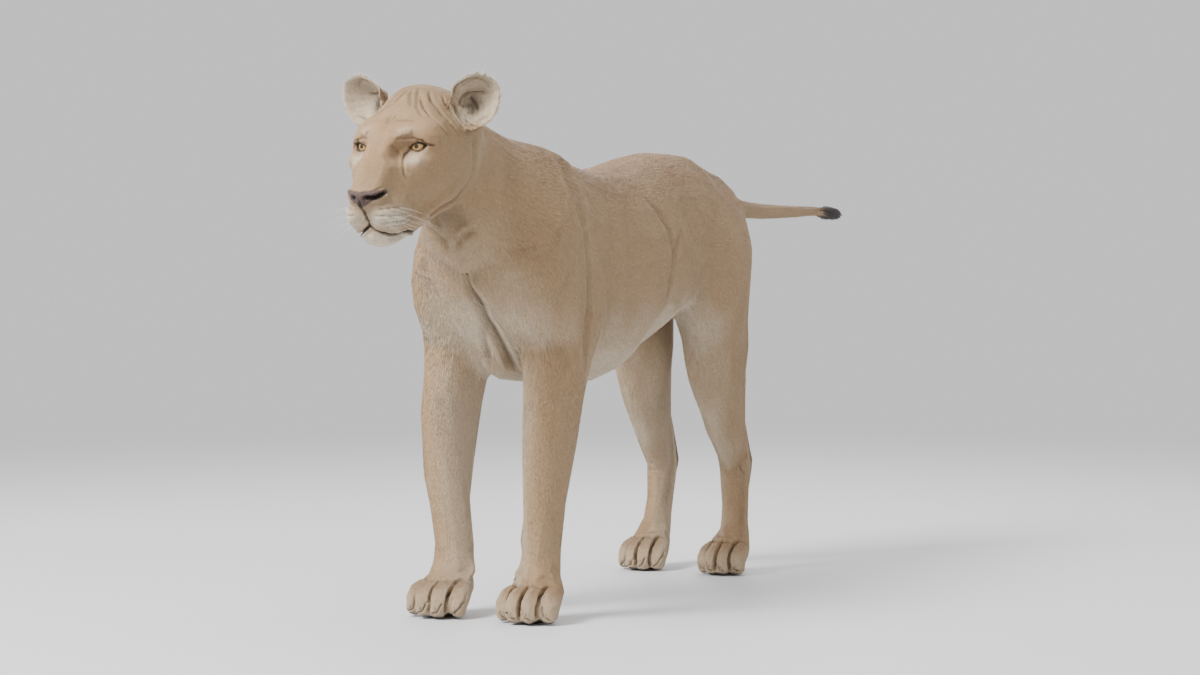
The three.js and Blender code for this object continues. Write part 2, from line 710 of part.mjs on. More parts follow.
// an ear: a bowl with a rounded rim, its foot buried in the head
function earSolid() {
  const { width, height, depth, rim, root } = earSize;
  const rings = 4;
  const around = 16;
  const rows = [];
  const wall = (inset, drop, ring) => {
    const far = ring / rings;
    return Array.from({ length: around }, (_, n) => {
      const angle = (n / around) * 2 * Math.PI;
      const narrow = 1 - 0.12 * (1 - Math.sin(angle)) * far;
      return [
        (width / 2 - inset) * narrow * far * Math.cos(angle),
        height / 2 + (height / 2 - inset) * far * Math.sin(angle),
        -(depth - drop) * (1 - far ** 2.4),
      ];
    });
  };
  for (let ring = 1; ring <= rings; ring += 1) rows.push(wall(0, 0, ring));
  for (let ring = rings; ring >= 1; ring -= 1) rows.push(wall(rim, root, ring));
  const points = [[0, height / 2, -depth], ...rows.flat(), [0, height / 2, root - depth]];
  const faces = [];
  for (let n = 0; n < around; n += 1) {
    const next = (n + 1) % around;
    faces.push(0, 1 + next, 1 + n);
    for (let row = 0; row + 1 < rows.length; row += 1) {
      const [a, b] = [1 + row * around + n, 1 + row * around + next];
      faces.push(a, b, b + around, a, b + around, a + around);
    }
    const lastRow = 1 + (rows.length - 1) * around;
    faces.push(lastRow + n, lastRow + next, points.length - 1);
  }
  const bowl = new THREE.BufferGeometry();
  bowl.setAttribute('position', new THREE.BufferAttribute(new Float32Array(points.flat()), 3));
  bowl.setIndex(faces);
  const { out, lean, back } = earTurn;
  const turn = new THREE.Euler(radians(90 + back), radians(lean), radians(out), 'ZYX');
  const frame = new THREE.Matrix4().makeRotationFromEuler(turn).setPosition(...earBase);
  return solidOf(bowl, frame);
}

// a claw: a hooked cone along an arc, from a root inside the toe to a tip just ahead of it
const claw = { bow: 23, from: 10, to: 72, thick: 3.6 };

function clawSolid(root, size, grow) {
  const sides = 3;
  const rings = 3;
  const points = [];
  const onArc = (angle, outward) => [
    -Math.sin(angle) * claw.bow * size - outward * Math.sin(angle),
    (Math.cos(angle) - 1) * claw.bow * size + outward * Math.cos(angle),
  ];
  for (let ring = 0; ring < rings; ring += 1) {
    const bend = radians(claw.from + (claw.to - claw.from) * ring / rings - (ring ? 0 : grow));
    const thick = claw.thick * (1 - 0.8 * ring / rings) * size + grow;
    for (let n = 0; n < sides; n += 1) {
      const angle = ((n + 0.5) / sides) * 2 * Math.PI;
      const [ahead, rise] = onArc(bend, thick * Math.sin(angle));
      points.push([root[0] + thick * 0.8 * Math.cos(angle), root[1] + ahead, root[2] + rise]);
    }
  }
  const [ahead, rise] = onArc(radians(claw.to + grow * 3), 0);
  points.push([root[0], root[1] + ahead, root[2] + rise]);
  const faces = [];
  for (let n = 1; n + 1 < sides; n += 1) faces.push(0, n + 1, n);
  for (let n = 0; n < sides; n += 1) {
    const next = (n + 1) % sides;
    for (let ring = 0; ring + 1 < rings; ring += 1) {
      const [a, b] = [ring * sides + n, ring * sides + next];
      faces.push(a, b, b + sides, a, b + sides, a + sides);
    }
    faces.push((rings - 1) * sides + n, (rings - 1) * sides + next, points.length - 1);
  }
  const hook = new THREE.BufferGeometry();
  hook.setAttribute('position', new THREE.BufferAttribute(new Float32Array(points.flat()), 3));
  hook.setIndex(faces);
  return solidOf(hook);
}

function clawRoots({ track, back, size, toeSpread }) {
  return [-1.5, -0.5, 0.5, 1.5].map((place) => {
    const set = Math.abs(place) > 1 ? footShape.outerBack : 0;
    return [track + place * toeSpread, back + (set + 18) * size, sole + 34 * size];
  });
}

// ---------------------------------------------------------------- the parts
const ground = sideOf([0, 0, sole], [0, 0, 1]);

let head = whole.head.intersect(before('nape')).intersect(before('mouth'));
head = head.subtract(manifoldOf(grown(noseSkin, gap)));
for (const hollow of [eyeball(eyeRadius + gap), eyeSlit()]) {
  head = head.subtract(hollow).subtract(flipped(hollow));
}
place('head', keepLargest(head), tawny);
place('nose', manifoldOf(noseSkin), leather);
place('lower_jaw', piece('head', after('mouth'), before('nape')), sand);
placePair('eye', eyeball(eyeRadius), amber);
const scalp = manifoldOf(grown(skins.head, gap));
place('ear_left', keepLargest(earSolid().subtract(scalp)), tawny);
place('ear_right', keepLargest(flipped(earSolid()).subtract(scalp)), tawny);

const fore = [after('withers'), before('ribs'), before('elbow')];
place('neck', piece('body', after('nape'), before('withers')), tawny);
place('chest', piece('body', ...fore, before('shoulder'), flipped(before('shoulder'))), tawny);
placePair('shoulder', piece('body', ...fore, after('shoulder')), tawny);
place('belly', piece('body', after('ribs'), before('loin')), sand);
const hind = [after('loin'), before('tailRoot')];
place('rump', piece('body', ...hind, before('thigh'), flipped(before('thigh'))), tawny);
placePair('thigh', piece('body', ...hind, after('thigh'), before('knee'), midline), tawny);
place('tail_root', piece('tail', after('tailRoot'), before('tailThird')), tawny);
place('tail_mid', piece('tail', after('tailThird'), before('tuft')), tawny);
place('tail_tuft', piece('tail', after('tuft')), umber);
placePair('foreleg', piece('body', after('elbow'), before('ribs'), before('wrist'), midline), tawny);
placePair('wrist', piece('body', after('wrist'), before('ribs'), before('ankle'), midline), tawny);
placePair('shin', piece('body', after('loin'), after('knee'), before('hock'), midline), tawny);
placePair('hock', piece('body', after('loin'), after('hock'), before('fetlock'), midline), tawny);

for (const [name, foot, top] of [['fore', forefoot, 'ankle'], ['hind', hindfoot, 'fetlock']]) {
  let paw = piece(name, after(top), ground);
  const hooks = clawRoots(foot).map((root) => ({ root, size: foot.size }));
  if (name === 'fore') hooks.push({ root: dewTip, size: 0.9 });
  for (const { root, size } of hooks) paw = paw.subtract(clawSolid(root, size, gap));
  placePair(`${name}_paw`, keepLargest(paw), sand);
  hooks.forEach(({ root, size }, n) => placePair(`${name}_claw_${n + 1}`, clawSolid(root, size, 0), horn));
}

// the origin is on the ground, in the middle of her outline
const outline = new THREE.Box3().setFromObject(lioness);
lioness.position.set(0, -(outline.min.y + outline.max.y) / 2, -outline.min.z);

export default lioness;
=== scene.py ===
import math
import time

import bpy
import numpy as np
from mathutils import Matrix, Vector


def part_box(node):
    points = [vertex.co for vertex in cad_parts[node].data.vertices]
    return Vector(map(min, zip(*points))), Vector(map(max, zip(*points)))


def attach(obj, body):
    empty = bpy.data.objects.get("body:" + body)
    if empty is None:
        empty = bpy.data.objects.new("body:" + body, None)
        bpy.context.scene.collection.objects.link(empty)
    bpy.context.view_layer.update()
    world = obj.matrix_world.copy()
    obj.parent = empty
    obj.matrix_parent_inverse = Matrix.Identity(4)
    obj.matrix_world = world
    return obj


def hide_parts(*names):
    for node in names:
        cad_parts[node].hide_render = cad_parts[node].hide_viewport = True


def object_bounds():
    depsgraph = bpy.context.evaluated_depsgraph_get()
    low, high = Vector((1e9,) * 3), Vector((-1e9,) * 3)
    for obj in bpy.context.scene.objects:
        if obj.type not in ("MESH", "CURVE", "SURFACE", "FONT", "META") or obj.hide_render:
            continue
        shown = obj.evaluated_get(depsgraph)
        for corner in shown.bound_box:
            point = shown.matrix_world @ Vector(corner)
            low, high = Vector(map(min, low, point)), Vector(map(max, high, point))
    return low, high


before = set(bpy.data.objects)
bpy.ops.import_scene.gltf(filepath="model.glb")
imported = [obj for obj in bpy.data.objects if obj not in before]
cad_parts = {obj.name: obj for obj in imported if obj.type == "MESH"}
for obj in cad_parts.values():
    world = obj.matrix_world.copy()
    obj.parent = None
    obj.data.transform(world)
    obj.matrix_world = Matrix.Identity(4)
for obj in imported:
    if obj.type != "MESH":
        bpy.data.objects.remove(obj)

import openvdb as vdb
from mathutils import Vector
from mathutils.bvhtree import BVHTree

# A standing lioness, life size: one skin, two eyes, whiskers and a short coat of tufts.
# Lengths are in metres. The left side is +X, the head looks along -Y, up is +Z.

startTime = time.time()
cadLow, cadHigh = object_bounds()
nodeBoxes = {}


def report(words):
    print(f"{words} ({time.time() - startTime:.0f} s)")


def boxOf(node):
    if node not in nodeBoxes:
        low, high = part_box(node)
        nodeBoxes[node] = (np.array(low), np.array(high))
    return nodeBoxes[node]


def middleOf(node):
    low, high = boxOf(node)
    return (low + high) / 2


def spot(node, share):
    low, high = boxOf(node)
    return low + (high - low) * np.array(share)


def ramp(value, start, end):
    t = np.clip((value - start) / (end - start), 0.0, 1.0)
    return t * t * (3.0 - 2.0 * t)


def unit(vectors):
    return vectors / np.maximum(np.linalg.norm(vectors, axis=-1, keepdims=True), 1e-9)


def dot(a, b):
    return (a * b).sum(-1)


# the places on the body that the rest refers to
headHigh = boxOf("head")[1]
earLow, earHigh = boxOf("ear_left")
jawLow, jawHigh = boxOf("lower_jaw")
noseLow, noseHigh = boxOf("nose")
chestLow, bellyLow, tuftLow = (boxOf(node)[0] for node in ("chest", "belly", "tail_tuft"))
rumpLow, rumpHigh = boxOf("rump")
pawHigh = boxOf("fore_paw_left")[1]
elbowHeight = boxOf("foreleg_left")[1][2]
eyeMiddle = middleOf("eye_left")
eyeRadius = (boxOf("eye_left")[1][0] - boxOf("eye_left")[0][0]) / 2


# how much each place belongs to a part of the body, from 0 to 1
def zonesOf(p):
    ax, y, z = np.abs(p[:, 0]), p[:, 1], p[:, 2]
    zones = {}
    beforeNeck = ramp(-y, -headHigh[1] - 0.01, -headHigh[1] + 0.07)
    zones["head"] = beforeNeck * ramp(z, jawLow[2] - 0.09, jawLow[2])
    front = ramp(z, jawLow[2] - 0.04, jawLow[2] - 0.01)
    zones["face"] = ramp(-y, -eyeMiddle[1] - 0.05, -eyeMiddle[1] + 0.01) * front
    zones["muzzle"] = ramp(-y, -eyeMiddle[1] + 0.025, -eyeMiddle[1] + 0.065) * front
    away = np.stack([earLow[0] - ax, earLow[1] - y, y - earHigh[1], earLow[2] + 0.014 - z], 1).max(1)
    zones["ear"] = ramp(-away, -0.012, 0.012)
    zones["leg"] = ramp(-z, -elbowHeight - 0.03, -elbowHeight + 0.09) * ramp(-y, -0.50, -0.47)
    zones["paw"] = ramp(-z, -pawHigh[2] - 0.02, -pawHigh[2] + 0.025)
    zones["tail"] = ramp(y, rumpHigh[1] + 0.02, rumpHigh[1] + 0.12)
    zones["tuft"] = ramp(y, tuftLow[1] - 0.01, tuftLow[1] + 0.05)
    return zones


def byZone(p, base, values):
    zones = zonesOf(p)
    result = np.full(len(p), float(base))
    for name, value in values.items():
        result += zones[name] * (value - result)
    return result


# camera, floor and light
def placeNew(name, data):
    thing = bpy.data.objects.new(name, data)
    bpy.context.scene.collection.objects.link(thing)
    return thing


camera = {
    "turn": 27.19,  # degrees from her nose towards her left
    "raise": 2.79,  # degrees above level
    "distance": 7.468,
    "lens": 100.0,
    "aim": (0.024, -0.2036, 0.005),  # from the middle of her box
}

middle = (Vector(cadLow) + Vector(cadHigh)) / 2
aim = middle + Vector(camera["aim"])
turn, lift = math.radians(camera["turn"]), math.radians(camera["raise"])
back = Vector((math.sin(turn) * math.cos(lift), -math.cos(turn) * math.cos(lift), math.sin(lift)))
cameraData = bpy.data.cameras.new("camera")
cameraData.lens = camera["lens"]
cameraData.sensor_width = 36.0
cameraData.clip_end = 200.0
cameraObject = placeNew("camera", cameraData)
cameraObject.location = aim + back * camera["distance"]
cameraObject.rotation_mode = "QUATERNION"
cameraObject.rotation_quaternion = (-back).to_track_quat("-Z", "Y")
bpy.context.scene.camera = cameraObject

studio = {
    "backdrop": (0.72, 0.72, 0.73),
    "backdropStrength": 1.14,
    "floorColor": (0.60, 0.60, 0.61),
    "floorGrain": (0.5, 0.5, 0.5),
    "floorSize": 60.0,
    "clearFrom": 1.8,  # from here to clearTo the floor turns into the backdrop
    "clearTo": 5.0,
    "key": {"at": (-2.2, -5.0, 5.3), "size": 2.6, "watts": 1020.0},
    "top": {"at": (0.4, 0.6, 5.2), "size": 4.5, "watts": 150.0},
    "fill": {"at": (5.2, -2.6, 2.2), "size": 4.0, "watts": 30.0},
    "rear": {"at": (-1.5, 5.4, 3.4), "size": 3.5, "watts": 110.0},
}


def newNodes(name):
    material = bpy.data.materials.new(name)
    material.use_nodes = True
    tree = material.node_tree
    tree.nodes.clear()
    return material, tree


def addNode(tree, kind, inputs=None, **settings):
    node = tree.nodes.new("ShaderNode" + kind)
    for key, value in settings.items():
        setattr(node, key, value)
    for key, value in (inputs or {}).items():
        if isinstance(value, bpy.types.NodeSocket):
            tree.links.new(value, node.inputs[key])
        elif isinstance(value, tuple) and len(value) == 3 and node.inputs[key].type == "RGBA":
            node.inputs[key].default_value = (*value, 1.0)
        else:
            node.inputs[key].default_value = value
    return node


def mixColors(tree, share, first, second, blend="MIX"):
    node = addNode(tree, "Mix", data_type="RGBA", blend_type=blend, clamp_factor=True)
    for index, value in ((0, share), (6, first), (7, second)):
        socket = node.inputs[index]
        if isinstance(value, bpy.types.NodeSocket):
            tree.links.new(value, socket)
        else:
            socket.default_value = (*value, 1.0) if isinstance(value, tuple) else value
    return node.outputs[2]


def noise(tree, place, scale, detail=2.0, roughness=0.5):
    inputs = {"Vector": place, "Scale": scale, "Detail": detail, "Roughness": roughness}
    return addNode(tree, "TexNoise", inputs).outputs["Fac"]


def multiply(tree, color, value):
    return mixColors(tree, 1.0, color, value, "MULTIPLY")


def painted(material, tree, inputs):
    paint = addNode(tree, "BsdfPrincipled", inputs)
    addNode(tree, "OutputMaterial", {"Surface": paint.outputs[0]})
    return material


def calc(tree, operation, a, b=0.0):
    node = addNode(tree, "Math", operation=operation)
    for index, value in ((0, a), (1, b)):
        if isinstance(value, bpy.types.NodeSocket):
            tree.links.new(value, node.inputs[index])
        else:
            node.inputs[index].default_value = value
    return node.outputs[0]


def remap(tree, value, fromLow, fromHigh, toLow, toHigh):
    inputs = {"Value": value, "From Min": fromLow, "From Max": fromHigh,
              "To Min": toLow, "To Max": toHigh}
    return addNode(tree, "MapRange", inputs).outputs[0]


def readMark(tree, name, output="Fac"):
    return addNode(tree, "Attribute", attribute_name=name).outputs[output]


def buildStudio(plan):
    world = bpy.data.worlds.new("studio")
    world.use_nodes = True
    background = world.node_tree.nodes["Background"]
    background.inputs["Color"].default_value = (*plan["backdrop"], 1.0)
    background.inputs["Strength"].default_value = plan["backdropStrength"]
    bpy.context.scene.world = world
    for name in ("key", "top", "fill", "rear"):
        light = bpy.data.lights.new(name, "AREA")
        light.shape = "SQUARE"
        light.size = plan[name]["size"]
        light.energy = plan[name]["watts"]
        lamp = placeNew(name, light)
        lamp.location = plan[name]["at"]
        lamp.rotation_mode = "QUATERNION"
        lamp.rotation_quaternion = (middle - lamp.location).to_track_quat("-Z", "Y")
    half = plan["floorSize"] / 2
    mesh = bpy.data.meshes.new("floor")
    corners = [(-half, -half, 0), (half, -half, 0), (half, half, 0), (-half, half, 0)]
    mesh.from_pydata(corners, [], [(0, 1, 2, 3)])
    floor = placeNew("floor", mesh)
    material, tree = newNodes("paleFloor")
    place = addNode(tree, "TexCoord").outputs["Object"]
    grain = noise(tree, place, 3.0, 5.0)
    grainShare = remap(tree, grain, 0.3, 0.7, 0.0, 0.06)
    color = mixColors(tree, grainShare, plan["floorColor"], plan["floorGrain"])
    inputs = {"Base Color": color, "Roughness": 0.6, "Specular IOR Level": 0.25}
    paint = addNode(tree, "BsdfPrincipled", inputs)
    glow = addNode(tree, "Emission", {"Color": plan["backdrop"], "Strength": plan["backdropStrength"]})
    reach = addNode(tree, "VectorMath", {0: place}, operation="LENGTH").outputs["Value"]
    share = remap(tree, reach, plan["clearFrom"], plan["clearTo"], 0.0, 1.0)
    share.node.interpolation_type = "SMOOTHSTEP"
    mixed = addNode(tree, "MixShader", {0: share, 1: paint.outputs[0], 2: glow.outputs[0]})
    addNode(tree, "OutputMaterial", {"Surface": mixed.outputs[0]})
    mesh.materials.append(material)


buildStudio(studio)
report("camera, floor and light")


# skin
skinPlan = {
    "grain": 0.003,
    "closing": 0.001,  # fills the fine cuts between the solids
    "broadest": 0.013,  # reach of the smoothing on the trunk
    "factor": 0.5,  # how far one turn of the smoothing goes
    "smoothing": {"leg": 0.40, "tail": 0.20, "head": 0.20, "face": 0.09, "muzzle": 0.04,
                  "paw": 0.022, "ear": 0.02},  # shares of the smoothing on the trunk
    "depth": {"leg": 0.0022, "paw": 0.0012, "head": 0.0022, "face": 0.0018, "muzzle": 0.0010,
              "ear": 0.0012, "tail": 0.0040, "tuft": 0.0120},  # of the coat over the skin
    "trunkDepth": 0.0030,
    "ground": 0.0003,  # the soles stay this far above the floor
    "triangles": 197000,
}


# the corners and triangles of every node but the claws
def fleshTriangles():
    points, triangles, count = [], [], 0
    for name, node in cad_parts.items():
        if "claw" in name:
            continue
        node.data.calc_loop_triangles()
        corners = np.empty(len(node.data.vertices) * 3, np.float32)
        node.data.vertices.foreach_get("co", corners)
        faces = np.empty(len(node.data.loop_triangles) * 3, np.int32)
        node.data.loop_triangles.foreach_get("vertices", faces)
        points.append(corners.reshape(-1, 3))
        triangles.append(faces.reshape(-1, 3) + count)
        count += len(points[-1])
    return np.concatenate(points), np.concatenate(triangles)


# one closed surface around all of them
def closedSkin(points, triangles, grain, closing):
    cells = vdb.createLinearTransform(voxelSize=grain)
    grid = vdb.FloatGrid.createLevelSetFromPolygons(
        points, triangles=triangles.astype(np.uint32), transform=cells, halfWidth=3)
    corners, quads = grid.convertToQuads(isovalue=closing)
    return corners.astype(np.float32), quads.astype(np.int64)


def largestShell(corners, quads):
    edges = np.concatenate([quads[:, [0, 1]], quads[:, [1, 2]], quads[:, [2, 3]], quads[:, [3, 0]]])
    label = np.arange(len(corners))
    while True:
        first, second = label[edges[:, 0]], label[edges[:, 1]]
        if (first == second).all():
            break
        lower = np.minimum(first, second)
        np.minimum.at(label, first, lower)
        np.minimum.at(label, second, lower)
        while (label[label] != label).any():
            label = label[label]
    kept = label == np.bincount(label).argmax()
    number = np.cumsum(kept) - 1
    return corners[kept], number[quads[kept[quads[:, 0]]]]


# sides whose middle is wanted are cut in two
def splitWhere(corners, triangles, wanted):
    pairs = np.stack([triangles[:, [0, 1]], triangles[:, [1, 2]], triangles[:, [2, 0]]], 1)
    pairs = np.sort(pairs, 2)
    codes, owner = np.unique(pairs[..., 0] * len(corners) + pairs[..., 1], return_inverse=True)
    owner = owner.reshape(-1, 3)
    centres = (corners[codes // len(corners)] + corners[codes % len(corners)]) / 2
    chosen = wanted(centres)
    number = np.full(len(codes), -1)
    number[chosen] = len(corners) + np.arange(chosen.sum())
    mids = number[owner]
    count = (mids >= 0).sum(1)
    splitSide, afterWhole = (mids >= 0).argmax(1), ((mids < 0).argmax(1) + 1) % 3
    start = np.where(count == 1, splitSide, np.where(count == 2, afterWhole, 0))
    order = (start[:, None] + np.arange(3)) % 3
    a, b, c = np.take_along_axis(triangles, order, 1).T
    m, n, o = np.take_along_axis(mids, order, 1).T
    parts = [triangles[count == 0]]
    for many, shapes in ((1, [(a, m, c), (m, b, c)]),
                         (2, [(m, b, n), (a, m, n), (a, n, c)]),
                         (3, [(a, m, o), (m, b, n), (o, n, c), (m, n, o)])):
        parts += [np.stack(shape, 1)[count == many] for shape in shapes]
    return np.concatenate([corners, centres[chosen]]), np.concatenate(parts)


def meshPiece(name, corners, faces):
    mesh = bpy.data.meshes.new(name)
    sides = faces.shape[1]
    mesh.vertices.add(len(corners))
    mesh.vertices.foreach_set("co", np.ascontiguousarray(corners, np.float32).ravel())
    mesh.loops.add(len(faces) * sides)
    mesh.loops.foreach_set("vertex_index", np.ascontiguousarray(faces, np.int32).ravel())
    mesh.polygons.add(len(faces))
    mesh.polygons.foreach_set("loop_start", np.arange(len(faces), dtype=np.int32) * sides)
    mesh.polygons.foreach_set("use_smooth", np.full(len(faces), True))
    mesh.update(calc_edges=True)
    return placeNew(name, mesh)


def cornersOf(piece):
    values = np.empty(len(piece.data.vertices) * 3, np.float32)
    piece.data.vertices.foreach_get("co", values)
    return values.reshape(-1, 3).astype(np.float64)


def moveCorners(piece, corners):
    piece.data.vertices.foreach_set("co", corners.astype(np.float32).ravel())
    piece.data.update()


def normalsOf(piece):
    values = np.empty(len(piece.data.vertices) * 3, np.float32)
    piece.data.vertex_normals.foreach_get("vector", values)
    return values.reshape(-1, 3).astype(np.float64)


def addWeights(piece, name, weights, steps=48):
    group = piece.vertex_groups.new(name=name)
    level = np.rint(np.clip(weights, 0, 1) * steps).astype(int)
    for step in range(1, steps + 1):
        members = np.nonzero(level == step)[0]
        if len(members):
            group.add(members.tolist(), step / steps, "REPLACE")


def applyModifier(piece, kind, **settings):
    modifier = piece.modifiers.new(kind.lower(), kind)
    for key, value in settings.items():
        setattr(modifier, key, value)
    bpy.context.view_layer.objects.active = piece
    bpy.ops.object.modifier_apply(modifier=modifier.name)


# the eye's own axes: outwards along the lids, up across them, and out of the socket
eyePlan = {
    "out": 22.0, "down": 6.0, "tilt": 8.0,  # degrees
    "halfWidth": 0.0146, "upper": 0.0066, "lower": 0.0068,  # the almond between the lids
    "lid": 0.0022,  # thickness of the lids over the eyeball
    "reach": 0.045,  # how far from the eye's middle the lids are shaped
    "hug": 0.0050,  # how far from their edges the lids cling to the eyeball
    "inset": 0.0012, "sink": 0.0042,  # how far the skin goes in behind the eyeball
    "edge": 0.0015,
    "front": -0.004,  # what lies further back than this isn't a lid
}


def gazeOf(plan, side):
    out, down = math.radians(plan["out"]), math.radians(plan["down"])
    level = math.cos(down)
    return np.array([side * math.sin(out) * level, -math.cos(out) * level, -math.sin(down)])


def eyeAxes(side):
    out, tilt = math.radians(eyePlan["out"]), math.radians(eyePlan["tilt"])
    gaze = gazeOf(eyePlan, side)
    outward = np.array([side * math.cos(out), math.sin(out), 0.0])
    upward = np.cross(gaze, outward) * side
    upward *= np.sign(upward[2])
    tilted = outward * math.cos(tilt) + upward * math.sin(tilt)
    upward = upward * math.cos(tilt) - outward * math.sin(tilt)
    return tilted, upward, gaze


def eyeCentre(side):
    return eyeMiddle * np.array([side, 1, 1])


# how far a place lies outside the almond between the lids, and its place in the eye's axes
def lidDistance(p, side):
    outward, upward, gaze = eyeAxes(side)
    rel = p - eyeCentre(side)
    u, v, w = rel @ outward, rel @ upward, rel @ gaze
    share = np.clip(np.abs(u) / eyePlan["halfWidth"], 0, 1)
    arch = (1 - share ** 2.2)
    edge = np.where(v > 0, eyePlan["upper"] * arch, eyePlan["lower"] * arch ** 0.9)
    beyond = np.maximum(np.abs(u) - eyePlan["halfWidth"], 0)
    gap = np.abs(v) - edge
    slope = 1.0 / np.sqrt(1.0 + (1.1 * share ** 3) ** 2)
    return np.where(beyond > 0, np.hypot(beyond, np.maximum(np.abs(v), 0)), gap * slope), u, v, w


def shapeLids(p, plan):
    for side in (1, -1):
        f, u, v, w = lidDistance(p, side)
        gaze = eyeAxes(side)[2]
        reach = u * u + v * v
        near = (reach < plan["reach"] ** 2) & (w > plan["front"])
        r = eyeRadius + plan["lid"]
        lidTop = np.sqrt(np.maximum(r * r - reach, 0.0))
        hug = np.exp(-(np.maximum(f, 0) / plan["hug"]) ** 2)
        covered = np.maximum(w, lidTop * (reach < r * r))
        outside = covered + (lidTop - covered) * hug * (reach < r * r)
        ball = np.sqrt(np.maximum(eyeRadius ** 2 - reach, 0.0))
        inside = ball - plan["inset"] - plan["sink"] * ramp(-f, 0.0, plan["edge"])
        target = np.where(f < 0, inside, outside)
        shift = np.where(near, target - w, 0.0)
        p += shift[:, None] * gaze
    return p


# folds and shifts that lie in the middle or on one side; all others are on both sides
oneSided = {"collar", "breastNotch", "breastGroove", "breastKeel", "foreLean", "chestHollow",
            "groinMiddle", "crotch", "farThigh"}

